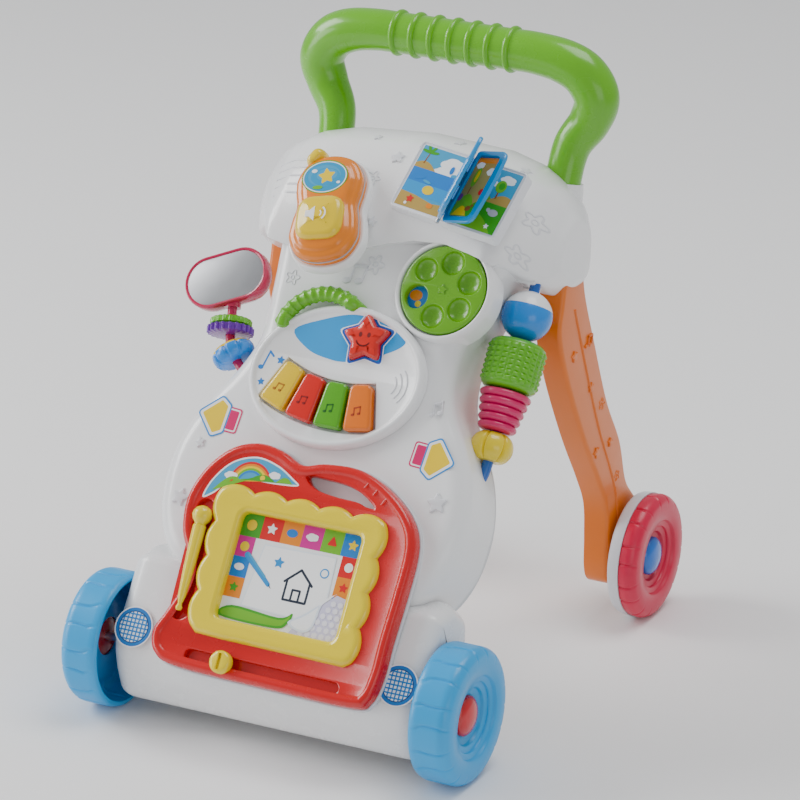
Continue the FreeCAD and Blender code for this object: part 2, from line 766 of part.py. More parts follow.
# ---------------------------------------------------------------- picture dial

plate = cylinder("picture_disc", "Dims.dial_radius+2", "2", PANEL.multiply(place(DIAL_X, DIAL_S, -9)))
stud = cylinder("picture_stud", "3", "8", PANEL.multiply(place(DIAL_X, DIAL_S, -7.5)))
node(fuse("dial_picture", [plate, stud]), "dial_picture")

dial_disc = cylinder("dial_disc", "Dims.dial_radius", "9", PANEL.multiply(place(DIAL_X, DIAL_S, -6)))
dimples = []
for index in range(6):
    angle = math.radians(23 + 60 * index)
    dimple_x = DIAL_X + dim("dimple_circle_radius") * math.cos(angle)
    dimple_s = DIAL_S + dim("dimple_circle_radius") * math.sin(angle)
    if index == 3:
        window = cylinder("dial_window", "Dims.dimple_radius-1", "30",
                          PANEL.multiply(place(dimple_x, dimple_s, -15)))
        dimples.append(window)
    else:
        scoop = primitive("Sphere", "dial_scoop_%d" % index, {"Radius": "Dims.dimple_radius"},
                          PANEL.multiply(place(dimple_x, dimple_s, 4.5)))
        dimples.append(scoop)
dial_bore = cylinder("dial_bore", "3+Dims.running_clearance", "8", PANEL.multiply(place(DIAL_X, DIAL_S, -7)))
node(cut("picture_dial", dial_disc, dimples + [dial_bore]), "picture_dial")

# ---------------------------------------------------------------- music panel

MUSIC = PANEL.multiply(place(MUSIC_X, MUSIC_S, 0, (0, 0, 1), MUSIC_TURN))
KEY_CENTRE = V(4.4, 144, 0)
KEY_COLOURS = ["yellow", "red", "green", "orange"]
KEY_FIRST_ANGLE = 21


def sector(centre, inner, outer, low, high):
    """A piece of a ring hanging below its centre, between two angles from straight down."""
    def spot(radius, angle):
        turned = math.radians(angle)
        return V(centre.x - radius * math.sin(turned), centre.y - radius * math.cos(turned), 0)
    middle = (low + high) / 2
    return [
        Part.Arc(spot(outer, low), spot(outer, middle), spot(outer, high)),
        Part.LineSegment(spot(outer, high), spot(inner, high)),
        Part.Arc(spot(inner, high), spot(inner, middle), spot(inner, low)),
        Part.LineSegment(spot(inner, low), spot(outer, low)),
    ]


def star(centre_x, centre_y, radius, turn):
    points = []
    for index in range(10):
        reach = radius if index % 2 == 0 else radius * 0.56
        angle = math.radians(90 + 36 * index + turn)
        points.append((centre_x + reach * math.cos(angle), centre_y + reach * math.sin(angle)))
    return polygon(points)


STAR_X = 15.4
STAR_S = 75
STAR_TURN = 8
MUSIC_ON_PANEL = place(MUSIC_X, MUSIC_S, 0, (0, 0, 1), MUSIC_TURN)
music = Part.Ellipse(V(0, 0, 0), dim("music_long_radius"), dim("music_short_radius"))
oval = prism([music], dim("body_gap"), dim("music_face"), MUSIC_ON_PANEL)
first = KEY_FIRST_ANGLE + dim("key_pitch") / 2 + 0.6
last = KEY_FIRST_ANGLE - 3.5 * dim("key_pitch") - 0.6
key_well = prism(sector(KEY_CENTRE, dim("key_inner_radius") - 1.5, dim("key_outer_radius") + 1.5, last, first), 1.6, 30)
star_well = prism(star(STAR_X, STAR_S, dim("star_radius") + 0.9, STAR_TURN), 4, 30)
node(feature("music_panel", oval.cut(key_well).cut(star_well), PANEL), "music_panel")

star_body = body("star_body", PANEL)
pad(star_body, sketch(star_body, "XY_Plane", star(STAR_X, STAR_S, dim("star_radius"), STAR_TURN), 6.5), "8")
node(star_body, "star_button")

for index, colour in enumerate(KEY_COLOURS):
    centre = KEY_FIRST_ANGLE - index * dim("key_pitch")
    half = dim("key_pitch") / 2 - 0.25
    key = body("key_%s_body" % colour, PANEL)
    curves = sector(KEY_CENTRE, dim("key_inner_radius"), dim("key_outer_radius"), centre - half, centre + half)
    pad(key, sketch(key, "XY_Plane", curves, 5), "7")
    node(key, "piano_key_" + colour)

arch_centre = V(-19, 69, 7.5)
ARCH_RADIUS = 31
ARCH_TUBE = 5.4
arch = Part.makeTorus(ARCH_RADIUS, ARCH_TUBE, arch_centre, V(0, 0, 1))
keep = Part.makeBox(90, 60, 30, V(-75, 56, -5))
arch = arch.common(keep)
solid_oval = prism([music], -10, 20, MUSIC_ON_PANEL)
node(feature("music_handle", arch.cut(solid_oval), PANEL), "music_handle")

case = rounded_rectangle(BATTERY_LENGTH, BATTERY_WIDTH, 4)
BATTERY_DEPTH = 24
battery = body("battery_case", MUSIC)
pad(battery, sketch(battery, "XY_Plane", case, dim("body_gap")), str(BATTERY_DEPTH), True)
well = rounded_rectangle(BATTERY_LENGTH - 5, BATTERY_WIDTH - 5, 3)
pocket(battery, sketch(battery, "XY_Plane", well, dim("body_gap") - BATTERY_DEPTH), str(BATTERY_DEPTH - 2), True)
node(battery, "battery_box")
door = body("battery_lid", MUSIC)
pad(door, sketch(door, "XY_Plane", case, dim("body_gap") - BATTERY_DEPTH), "2", True)
node(door, "battery_door")
board = body("circuit", MUSIC)
pad(board, sketch(board, "XY_Plane", rounded_rectangle(70, 34, 2), -6), "1.6")
node(board, "sound_board")
speaker = primitive("Cone", "speaker_cone", {"Radius1": "9", "Radius2": "14", "Height": "7"},
                    MUSIC.multiply(place(18, 0, -14)))
node(speaker, "speaker")

# ---------------------------------------------------------------- drawing board

# The board's outline: a bread slice with a dome at its left and a carrying loop at its right.
BOARD_OUTLINE = [(-60, -11), (12, -12), (84, -11.5), (100, -2), (103, 18), (100, 60), (98.5, 100), (95, 120),
                 (78, 137), (58, 149), (34, 154), (10, 151), (-8, 149), (-26, 156), (-46, 158), (-66, 149),
                 (-82, 130), (-88, 108), (-84, 84), (-74, 62), (-74, 44), (-83, 22), (-86, 6), (-78, -7)]
WINDOW_X = 8
WINDOW_S = 68.2
LOOP_GAP = [(8, 137), (22, 144), (40, 145), (58, 138), (70, 126), (60, 125), (40, 128), (24, 131), (10, 133)]
BEZEL_WIDTH = 130
BEZEL_HEIGHT = 104
SLOT_LOW_X = -51
SLOT_HIGH_X = 64
SLOT_S = -2
PEN_X = -70
PEN_LOW = 29
PEN_HIGH = 104
KNOB_X = -24

cradle_plate = body("cradle_plate", BOARD)
pad(cradle_plate, sketch(cradle_plate, "XY_Plane", [smooth_loop(inset(BOARD_OUTLINE, -2))], 0.05), "2.8")
cradle_gap = sketch(cradle_plate, "XY_Plane", [smooth_loop(LOOP_GAP)], 3)
pocket(cradle_plate, cradle_gap, "4")
node(cradle_plate, "board_cradle")

frame = body("board_frame_body", BOARD)
pad(frame, sketch(frame, "XY_Plane", [smooth_loop(BOARD_OUTLINE)], dim("board_back")),
    "Dims.board_face-Dims.board_back")
pocket(frame, sketch(frame, "XY_Plane", [smooth_loop(LOOP_GAP)], dim("board_face")), "20")
screen_well = rounded_rectangle(BEZEL_WIDTH + 0.4, BEZEL_HEIGHT + 0.4, 12, WINDOW_X, WINDOW_S)
pocket(frame, sketch(frame, "XY_Plane", screen_well, dim("board_face")), "7.5")
pocket(frame, sketch(frame, "XY_Plane", capsule(PEN_X, PEN_LOW, PEN_X, PEN_HIGH, 6.4), dim("board_face")), "6")
pocket(frame, sketch(frame, "XY_Plane", capsule(SLOT_LOW_X, SLOT_S, SLOT_HIGH_X, SLOT_S, 4.4), dim("board_face")), "6")
node(frame, "board_frame")

screen = body("screen_plate", BOARD)
pad(screen, sketch(screen, "XY_Plane", rounded_rectangle(BEZEL_WIDTH, BEZEL_HEIGHT, 12, WINDOW_X, WINDOW_S), 6.5), "2")
node(screen, "drawing_screen")

bezel = body("bezel_ring", BOARD)
pad(bezel, sketch(bezel, "XY_Plane", rounded_rectangle(BEZEL_WIDTH, BEZEL_HEIGHT, 12, WINDOW_X, WINDOW_S), 8.5), "7")
window = rounded_rectangle(dim("window_width"), dim("window_height"), 5, WINDOW_X, WINDOW_S)
pocket(bezel, sketch(bezel, "XY_Plane", window, 16), "12")
node(bezel, "board_bezel")

pen = body("pen_body", BOARD)
pad(pen, sketch(pen, "XY_Plane", capsule(PEN_X, PEN_LOW, PEN_X, PEN_HIGH, 5.9), 8.5), "8")
node(pen, "drawing_pen")

knob_stem = cylinder("knob_stem", "4", "8", BOARD.multiply(place(KNOB_X, SLOT_S, 8.4)))
knob_head = cylinder("knob_head", "8", "5", BOARD.multiply(place(KNOB_X, SLOT_S, 14.5)))
node(fuse("eraser_knob", [knob_stem, knob_head]), "eraser_knob")

# ---------------------------------------------------------------- stickers

STICKER_X = 107
STICKER_S = -162.5
stickers = []
for side in (1, -1):
    stickers.append(cylinder("headlight_%d" % side, "Dims.sticker_radius", "Dims.sticker_thickness",
                             PANEL.multiply(place(side * STICKER_X, STICKER_S, 0))))
# The cradle's corner covers a little of the right-hand sticker, so the sticker ends there.
corner_block = feature("corner_block", prism([smooth_loop(inset(BOARD_OUTLINE, -2 - PANEL_ROOM))], -1, 5, BOARD))
node(cut("headlight_stickers", fuse("sticker_pair", stickers), [corner_block]), "headlight_stickers")
arrows = []
for side, turn in ((1, -4), (-1, -4)):
    where = PANEL.multiply(place(side * 85.5, 1, 0.02, (0, 0, 1), turn))
    arrow = body("arrow_%d" % side, where)
    outline = [(-16, 0), (-1, 14), (-1, 9.5), (16, 9.5), (16, -9.5), (-1, -9.5), (-1, -14)]
    pad(arrow, sketch(arrow, "XY_Plane", polygon(outline)), "Dims.sticker_thickness")
    arrows.append(arrow)
node(fuse("arrow_stickers", arrows), "arrow_stickers")

# ---------------------------------------------------------------- beads on the right-hand rod

ROD_BORE = dim("bead_rod_radius") + dim("running_clearance")


def bead(label, profile, s):
    """A bead turned about the rod: the profile's x runs up the slope from the bead's middle."""
    where = PANEL.multiply(place(ROD_X, s, ROD_N, (0, 0, 1), 90))
    node(revolved_body(label + "_body", profile, where), label)


BALL_RADIUS = 18.5
ball = [(-18, ROD_BORE)]
for step in range(1, 12):
    angle = math.radians(-90 + 15 * step)
    ball.append((BALL_RADIUS * math.sin(angle), BALL_RADIUS * math.cos(angle)))
ball.append((18, ROD_BORE))
bead("ball_bead", ball, 122)
bead("drum_bead", [(-18.5, ROD_BORE), (-18.5, 17), (-14, 21.5), (14, 21.5), (18.5, 17), (18.5, ROD_BORE)], 84.5)
cone = [(-15, ROD_BORE), (-15, 11.5)]
for ring in range(6):
    crest = 14 + ring * 1.1
    cone.append((-12.5 + ring * 5, crest))
    cone.append((-10 + ring * 5, crest - 1.6))
cone.append((15, ROD_BORE))
bead("ribbed_bead", cone, 50.5)
bead("segment_bead", [(-10.5, ROD_BORE), (-10.5, 10), (-5, 15.5), (5, 15.5), (10.5, 10), (10.5, ROD_BORE)], 24.5)

# ---------------------------------------------------------------- ring beads and mirror at the left

RING_BORE = dim("ring_rod_radius") + dim("running_clearance")


def along(start, end, distance):
    """Frame on a straight run of the rod, its local x along the run."""
    run = end - start
    spot = start + run * (distance / run.Length)
    turn = math.degrees(math.atan2(run.y, run.x))
    return PANEL.multiply(place(spot.x, spot.y, spot.z, (0, 0, 1), turn))


LOWER_RING_AT = 15.5
UPPER_RING_AT = 13
ring_profile = [(-5.5, RING_BORE), (-5.5, 14), (-3, 16), (3, 16), (5.5, 13), (5.5, RING_BORE)]
node(revolved_body("lower_ring_body", ring_profile, along(RING_CORNER, RING_KNEE, LOWER_RING_AT)), "lower_ring_bead")
node(revolved_body("upper_ring_body", ring_profile, along(RING_KNEE, RING_TOP, UPPER_RING_AT)), "upper_ring_bead")

MIRROR_LENGTH = dim("mirror_length")
MIRROR_HEIGHT = dim("mirror_height")
MIRROR_X = -118
MIRROR_S = 105
MIRROR_TURN = 25
MIRROR = PANEL.multiply(place(MIRROR_X, MIRROR_S, RING_N, (0, 0, 1), MIRROR_TURN))


def stadium(length, height):
    half = (length - height) / 2
    return capsule(-half, 0, half, 0, height / 2)


housing = body("housing_body", MIRROR)
pad(housing, sketch(housing, "XY_Plane", stadium(MIRROR_LENGTH, MIRROR_HEIGHT), -8), "16")
pocket(housing, sketch(housing, "XY_Plane", stadium(MIRROR_LENGTH - 5, MIRROR_HEIGHT - 5), 8), "3")
socket = cylinder("mirror_socket", "Dims.ring_rod_radius+2.6", "12", WORLD)
socket.Placement = along(RING_KNEE, RING_TOP, UPPER_RING_AT + 7).multiply(place(0, 0, 0, (0, 1, 0), 90))
stem_hole = cylinder("stem_hole", "Dims.ring_rod_radius+Dims.running_clearance", "21", WORLD)
stem_hole.Placement = along(RING_KNEE, RING_TOP, UPPER_RING_AT + 6).multiply(place(0, 0, 0, (0, 1, 0), 90))
node(cut("mirror_housing", fuse("housing_whole", [housing, socket]), [stem_hole]), "mirror_housing")
glass = body("glass_body", MIRROR)
pad(glass, sketch(glass, "XY_Plane", stadium(MIRROR_LENGTH - 5.4, MIRROR_HEIGHT - 5.4), 5), "2")
node(glass, "mirror_glass")

# ---------------------------------------------------------------- checks and export

doc.recompute()
for obj in doc.Objects:
    if "Invalid" in obj.State or "Error" in obj.State:
        raise RuntimeError("failed object: %s %s" % (obj.Label, obj.State))
for label, obj in NODES.items():
    if obj.Shape.isNull() or not obj.Shape.isValid():
        raise RuntimeError("bad shape: " + label)
    if not obj.Shape.Solids:
        raise RuntimeError("no solid: " + label)
for label, obj in NODES.items():
    obj.Shape.exportStep("parts/%s.step" % label)
    print("%-22s solids %d volume %.0f" % (label, len(obj.Shape.Solids), obj.Shape.Volume))
print(len(NODES), "nodes")
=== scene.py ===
import json
import math

import bpy
import numpy as np
from mathutils import Matrix, Vector
from mathutils.bvhtree import BVHTree
from mathutils.geometry import tessellate_polygon


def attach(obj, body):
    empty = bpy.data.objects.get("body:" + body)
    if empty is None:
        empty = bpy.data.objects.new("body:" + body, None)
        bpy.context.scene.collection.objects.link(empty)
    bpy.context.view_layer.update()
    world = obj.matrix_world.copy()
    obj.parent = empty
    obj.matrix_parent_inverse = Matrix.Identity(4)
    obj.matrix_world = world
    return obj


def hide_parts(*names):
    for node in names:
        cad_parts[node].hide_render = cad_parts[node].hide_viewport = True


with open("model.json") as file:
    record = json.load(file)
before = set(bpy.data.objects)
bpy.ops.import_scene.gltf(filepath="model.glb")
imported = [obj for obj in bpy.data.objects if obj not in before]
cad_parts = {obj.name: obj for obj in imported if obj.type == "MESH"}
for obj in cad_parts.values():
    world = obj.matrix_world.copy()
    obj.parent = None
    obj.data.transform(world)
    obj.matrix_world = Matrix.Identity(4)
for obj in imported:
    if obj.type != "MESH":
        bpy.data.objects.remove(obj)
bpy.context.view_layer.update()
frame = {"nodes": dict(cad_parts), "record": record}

MM = 0.001
TAU = 2 * math.pi
UP = Vector((0, 0, 1))


# ---- frames, in millimetres

def turned(x, y, z, tilt=0.0, turn=0.0):
    """A frame at a place, tilted about X, then turned about its own normal."""
    tilt_matrix = Matrix.Rotation(math.radians(tilt), 4, "X")
    return Matrix.Translation((x, y, z)) @ tilt_matrix @ Matrix.Rotation(math.radians(turn), 4, "Z")


WORLD = Matrix.Identity(4)
PANEL_Y, PANEL_Z = -96, 208
PANEL = turned(0, PANEL_Y, PANEL_Z, 56)
# The panel's slope and its normal, as shares of a millimetre along Y and Z.
SLOPE_Y, SLOPE_Z = 0.559, 0.829
DECK = turned(0, -29, 341, 45)
BOARD = PANEL @ turned(0, -172.3, 0)
PHONE = DECK @ turned(-34, 10.5, 0, 0, 13)
BOOK = DECK @ turned(57, 45.5, 0, 0, -8.7)
DIAL = PANEL @ turned(62, 121, 0)
ROD = PANEL @ Matrix.Translation((110, 0, -40)) @ Matrix.Rotation(math.radians(90), 4, "Z")
SIDES = ((1, "right"), (-1, "left"))
# Sideways parts: local x, y run along the walker's Y and Z, and local z runs outwards along X.
SIDE = {
    1: Matrix(((0, 0, 1, 0), (1, 0, 0, 0), (0, 1, 0, 0), (0, 0, 0, 1))),
    -1: Matrix(((0, 0, -1, 0), (1, 0, 0, 0), (0, 1, 0, 0), (0, 0, 0, 1))),
}


# A wheel's local x runs outwards.
OUTWARDS = {side: Matrix.Rotation(0 if side > 0 else math.pi, 4, "Z") for side, _ in SIDES}


def along(x, y, z, angle):
    """A frame on the panel whose local x runs at an angle across it."""
    return PANEL @ Matrix.Translation((x, y, z)) @ Matrix.Rotation(math.radians(angle), 4, "Z")


# ---- materials

def vivid(colour):
    """A purer, slightly deeper version of a plastic's colour; greys and whites stay as they are."""
    low = min(colour)
    high = max(colour)
    if high < 0.02 or (high - low) / high < 0.3:
        return tuple(colour)
    pure = [max(0.0, c - 0.75 * low) for c in colour]
    return tuple(0.86 * c ** 1.25 for c in pure)


def finish(name, colour, rough=0.3, coat=0.0, metal=0.0, grain=420.0, bump=0.05, shade=0.06,
           painted=False):
    """Moulded plastic or metal: faint colour drift, uneven gloss and a fine surface texture."""
    material = bpy.data.materials.new(name)
    material.use_nodes = True
    tree = material.node_tree
    nodes = tree.nodes
    links = tree.links
    shader = nodes["Principled BSDF"]
    shader.inputs["Metallic"].default_value = metal
    shader.inputs["Coat Weight"].default_value = coat
    shader.inputs["Coat Roughness"].default_value = 0.06
    shader.inputs["IOR"].default_value = 1.5
    place = nodes.new("ShaderNodeTexCoord")

    def noise(scale, detail):
        node = nodes.new("ShaderNodeTexNoise")
        node.inputs["Scale"].default_value = scale
        node.inputs["Detail"].default_value = detail
        links.new(place.outputs["Object"], node.inputs["Vector"])
        return node.outputs["Fac"]

    def remap(value, low, high):
        node = nodes.new("ShaderNodeMapRange")
        node.inputs["To Min"].default_value = low
        node.inputs["To Max"].default_value = high
        links.new(value, node.inputs["Value"])
        return node.outputs["Result"]

    tint = nodes.new("ShaderNodeMix")
    tint.data_type = "RGBA"
    tint.blend_type = "MULTIPLY"
    tint.inputs["Factor"].default_value = 1.0
    if painted:
        paint = nodes.new("ShaderNodeAttribute")
        paint.attribute_name = "Paint"
        links.new(paint.outputs["Color"], tint.inputs["A"])
    else:
        tint.inputs["A"].default_value = (*vivid(colour), 1)
    links.new(remap(noise(16.0, 3.0), 1.0 - shade, 1.0), tint.inputs["B"])
    links.new(tint.outputs["Result"], shader.inputs["Base Color"])
    links.new(remap(noise(70.0, 4.0), rough * 0.8, rough * 1.25), shader.inputs["Roughness"])
    relief_node = nodes.new("ShaderNodeBump")
    relief_node.inputs["Strength"].default_value = bump
    relief_node.inputs["Distance"].default_value = 0.0006
    links.new(noise(grain, 2.0), relief_node.inputs["Height"])
    links.new(relief_node.outputs["Normal"], shader.inputs["Normal"])
    return material


# Each record slot's colour, roughness and clear coat.
LOOKS = {
    "white_shell": ((0.90, 0.905, 0.91), 0.24, 0.25),
    "white_base": ((0.88, 0.885, 0.89), 0.26, 0.2),
    "white_console": ((0.90, 0.905, 0.91), 0.24, 0.25),
    "white_cover": ((0.74, 0.75, 0.76), 0.5, 0.0),
    "lime_handle": ((0.24, 0.62, 0.035), 0.26, 0.3),
    "orange_leg": ((0.93, 0.27, 0.004), 0.32, 0.15),
    "blue_tyre": ((0.01, 0.50, 0.92), 0.34, 0.1),
    "red_cap": ((0.80, 0.02, 0.04), 0.2, 0.5),
    "crimson_tyre": ((0.80, 0.02, 0.12), 0.34, 0.1),
    "grey_disc": ((0.66, 0.67, 0.71), 0.36, 0.1),
    "blue_cap": ((0.03, 0.27, 0.80), 0.2, 0.5),
    "phone_orange": ((0.94, 0.32, 0.0), 0.22, 0.5),
    "phone_yellow": ((0.97, 0.74, 0.0), 0.2, 0.5),
    "book_white": ((0.82, 0.83, 0.87), 0.28, 0.2),
    "page_blue": ((0.03, 0.42, 0.82), 0.22, 0.5),
    "dial_green": ((0.25, 0.58, 0.04), 0.26, 0.3),
    "music_white": ((0.90, 0.91, 0.92), 0.22, 0.3),
    "key_yellow": ((0.96, 0.70, 0.0), 0.2, 0.5),
    "key_red": ((0.82, 0.035, 0.02), 0.2, 0.5),
    "key_green": ((0.16, 0.52, 0.02), 0.2, 0.5),
    "key_orange": ((0.93, 0.27, 0.01), 0.2, 0.5),
    "star_red": ((0.82, 0.05, 0.025), 0.22, 0.5),
    "battery_grey": ((0.42, 0.43, 0.45), 0.5, 0.0),
    "circuit_board": ((0.03, 0.24, 0.1), 0.4, 0.2),
    "speaker_black": ((0.03, 0.03, 0.033), 0.6, 0.0),
    "board_red": ((0.78, 0.006, 0.010), 0.26, 0.3),
    "cradle_grey": ((0.70, 0.71, 0.75), 0.3, 0.2),
    "bezel_yellow": ((0.98, 0.80, 0.0), 0.2, 0.5),
    "rod_blue": ((0.02, 0.20, 0.62), 0.24, 0.4),
    "rod_crimson": ((0.72, 0.03, 0.18), 0.24, 0.4),
    "bead_blue": ((0.02, 0.36, 0.88), 0.22, 0.4),
    "bead_green": ((0.22, 0.62, 0.03), 0.26, 0.3),
    "bead_pink": ((0.85, 0.07, 0.26), 0.24, 0.4),
    "bead_yellow": ((0.97, 0.78, 0.0), 0.22, 0.4),
    "ring_purple": ((0.34, 0.15, 0.60), 0.3, 0.2),
    "mirror_crimson": ((0.70, 0.015, 0.14), 0.2, 0.5),
}
MATERIALS = {slot: finish(slot, *look) for slot, look in LOOKS.items()}
MATERIALS["axle_steel"] = finish("axle_steel", (0.60, 0.61, 0.63), 0.3, 0.0, 1.0, 900.0, 0.08)
MATERIALS["mirror_film"] = finish("mirror_film", (0.45, 0.46, 0.48), 0.40, 0.0, 0.8, 30.0, 0.02, 0.10)
for print_slot in ("picture_print", "screen_print", "sticker_print"):
    MATERIALS[print_slot] = finish(print_slot, (1, 1, 1), 0.36, 0.12, 0.0, 1500.0, 0.03, 0.03, True)
PAINTED = finish("painted", (1, 1, 1), 0.24, 0.3, 0.0, 600.0, 0.04, 0.05, True)
# The raised shapes are the same white plastic as the mouldings; this darker grey is painted shade for the thin
# shadows round them.
EMBOSS_PAINTED_SHADE = finish("emboss", (0.74, 0.75, 0.78), 0.32, 0.15)


# ---- meshes

def build(name, verts, faces, where, slot, body, colours=None, smooth=True, sharp=38.0, material=None):
    """One mesh piece from local millimetres, riding on its CAD body."""
    mesh = bpy.data.meshes.new(name)
    placed = [(where @ Vector(v)) * MM for v in verts]
    mesh.from_pydata(placed, [], faces)
    mesh.validate()
    if colours is not None:
        layer = mesh.color_attributes.new("Paint", "FLOAT_COLOR", "CORNER")
        values = []
        for polygon in mesh.polygons:
            values += [*vivid(colours[polygon.index]), 1.0] * polygon.loop_total
        layer.data.foreach_set("color", values)
    if smooth:
        mesh.shade_smooth()
        mesh.set_sharp_from_angle(angle=math.radians(sharp))
    obj = bpy.data.objects.new(name, mesh)
    bpy.context.scene.collection.objects.link(obj)
    mesh.materials.append(material or MATERIALS[slot])
    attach(obj, body)
    return obj


def area(loop):
    total = 0.0
    for index, (x0, y0) in enumerate(loop):
        x1, y1 = loop[(index + 1) % len(loop)]
        total += x0 * y1 - x1 * y0
    return total / 2


def ccw(loop):
    return loop if area(loop) > 0 else loop[::-1]


def inset(loop, distance):
    """A counter-clockwise loop moved inwards, or outwards with a negative distance."""
    pts = np.array(loop, float)
    before = pts - np.roll(pts, 1, 0)
    after = np.roll(pts, -1, 0) - pts
    before /= np.linalg.norm(before, axis=1)[:, None] + 1e-12
    after /= np.linalg.norm(after, axis=1)[:, None] + 1e-12
    n0 = np.stack([-before[:, 1], before[:, 0]], 1)
    n1 = np.stack([-after[:, 1], after[:, 0]], 1)
    normal = n0 + n1
    length = np.linalg.norm(normal, axis=1)[:, None]
    normal /= length + 1e-12
    stretch = np.minimum(1 / np.maximum(length / 2, 0.5), 1.6)
    return [tuple(p) for p in pts + normal * distance * stretch]


def smooth_loop(points, steps=8):
    """A closed Catmull-Rom curve through the points, as a counter-clockwise loop."""
    pts = np.array(points, float)
    out = []
    count = len(pts)
    for i in range(count):
        a, b, c, d = pts[i - 1], pts[i], pts[(i + 1) % count], pts[(i + 2) % count]
        for k in range(steps):
            t = k / steps
            out.append(0.5 * ((2 * b) + (c - a) * t + (2 * a - 5 * b + 4 * c - d) * t * t
                              + (3 * b - a - 3 * c + d) * t ** 3))
    result = [tuple(p) for p in out]
    return ccw(result) if len(points[0]) == 2 else result


def rounded(points, radius, steps=6):
    """A polygon with its corners rounded; radius is one number, or one for each corner."""
    out = []
    count = len(points)
    for i in range(count):
        p = Vector(points[i])
        r = radius[i] if isinstance(radius, (list, tuple)) else radius
        before = (Vector(points[i - 1]) - p)
        after = (Vector(points[(i + 1) % count]) - p)
        if r <= 0:
            out.append(tuple(p))
            continue
        half = before.angle(after) / 2
        run = min(r / math.tan(half), before.length * 0.49, after.length * 0.49)
        enter = p + before.normalized() * run
        leave = p + after.normalized() * run
        for k in range(steps + 1):
            t = k / steps
            out.append(tuple(enter * (1 - t) ** 2 + p * 2 * t * (1 - t) + leave * t * t))
    return ccw(out)


def box_loop(width, height, radius, x=0.0, y=0.0):
    a = width / 2
    b = height / 2
    return rounded([(x - a, y - b), (x + a, y - b), (x + a, y + b), (x - a, y + b)], radius)


def oval(rx, ry, x=0.0, y=0.0, count=72, turn=0.0):
    c, s = math.cos(math.radians(turn)), math.sin(math.radians(turn))
    out = []
    for k in range(count):
        px, py = rx * math.cos(TAU * k / count), ry * math.sin(TAU * k / count)
        out.append((x + px * c - py * s, y + px * s + py * c))
    return out


def arc_points(x, y, rx, ry, low, high, count):
    """Points along an oval between two angles in radians."""
    return [(x + rx * math.cos(a), y + ry * math.sin(a)) for a in np.linspace(low, high, count)]


def slot_loop(x0, y0, x1, y1, radius, steps=10, end_radius=None):
    """A capsule, which tapers if the second end has its own radius."""
    end_radius = end_radius or radius
    angle = math.atan2(y1 - y0, x1 - x0)
    out = []
    for k in range(steps + 1):
        a = angle - math.pi / 2 + math.pi * k / steps
        out.append((x1 + end_radius * math.cos(a), y1 + end_radius * math.sin(a)))
    for k in range(steps + 1):
        a = angle + math.pi / 2 + math.pi * k / steps
        out.append((x0 + radius * math.cos(a), y0 + radius * math.sin(a)))
    return out


def star_loop(x, y, radius, inner=0.5, turn=0.0, soft=0.0):
    pts = []
    for k in range(10):
        r = radius if k % 2 == 0 else radius * inner
        a = math.radians(90 + 36 * k + turn)
        pts.append((x + r * math.cos(a), y + r * math.sin(a)))
    return rounded(pts, [soft if k % 2 == 0 else soft * 0.5 for k in range(10)], 4) if soft else pts


def moved(loop, x=0.0, y=0.0, turn=0.0, scale=1.0):
    c, s = math.cos(math.radians(turn)) * scale, math.sin(math.radians(turn)) * scale
    return [(x + px * c - py * s, y + px * s + py * c) for px, py in loop]


def cap_faces(loops, starts, flip=False):
    """Triangles of a flat face with holes; starts are the vertex numbers where each loop begins."""
    lookup = []
    for loop, start in zip(loops, starts):
        lookup += [start + k for k in range(len(loop))]
    triangles = tessellate_polygon([[Vector((x, y, 0)) for x, y in loop] for loop in loops])
    flat = [p for loop in loops for p in loop]
    faces = []
    for tri in triangles:
        (ax, ay), (bx, by), (cx, cy) = (flat[k] for k in tri)
        turn = (bx - ax) * (cy - ay) - (by - ay) * (cx - ax)
        if abs(turn) < 1e-9:
            continue
        face = [lookup[k] for k in tri]
        faces.append(face[::-1] if (turn > 0) == flip else face)
    return faces


def relief_data(outer, profile, holes=(), under=True):
    """A moulding: rings of the outer outline at (inset, height) steps, a flat top, and wells.
    Each hole is (loop, steps outwards at each height, closed floor or not)."""
    verts = []
    faces = []

    def ring(loop, z):
        start = len(verts)
        verts.extend((x, y, z) for x, y in loop)
        return start

    def join(a, b, count, flip):
        for k in range(count):
            n = (k + 1) % count
            quad = [a + k, a + n, b + n, b + k]
            faces.append(quad[::-1] if flip else quad)

    outer = ccw(outer)
    starts = []
    loop = outer
    for distance, z in profile:
        loop = inset(outer, distance)
        starts.append(ring(loop, z))
    for a, b in zip(starts, starts[1:]):
        join(a, b, len(outer), False)
    under_loops = [inset(outer, profile[0][0])]
    under_starts = [starts[0]]
    top_loops = [loop]
    top_starts = [starts[-1]]
    for hole, steps, closed in holes:
        hole = ccw(hole)
        rings = []
        for distance, z in steps:
            shape = inset(hole, -distance)
            rings.append((shape, ring(shape, z)))
        top_loops.append(rings[0][0])
        top_starts.append(rings[0][1])
        for (_, a), (_, b) in zip(rings, rings[1:]):
            join(a, b, len(hole), True)
        if closed:
            faces.extend(cap_faces([rings[-1][0]], [rings[-1][1]]))
        else:
            under_loops.append(rings[-1][0])
            under_starts.append(rings[-1][1])
    faces.extend(cap_faces(top_loops, top_starts))
    if under:
        faces.extend(cap_faces(under_loops, under_starts, True))
    return verts, faces


def relief(name, outer, profile, where, slot, body, holes=(), under=True, **kw):
    verts, faces = relief_data(outer, profile, holes, under)
    return build(name, verts, faces, where, slot, body, **kw)


def edge(low, high, radius, steps=5):
    """An upright side with a rounded top edge, as (inset, height) steps."""
    out = [(0.0, low)]
    for k in range(steps + 1):
        a = math.pi / 2 * k / steps
        out.append((radius * (1 - math.cos(a)), high - radius + radius * math.sin(a)))
    return out


def dome(low, high, reach, steps=7):
    """A low cushion shape: it rises from the edge to nearly flat over a reach."""
    out = [(0, low)]
    for k in range(1, steps + 1):
        a = math.pi / 2 * k / steps
        out.append((reach * (1 - math.cos(a)), low + (high - low) * math.sin(a)))
    return out


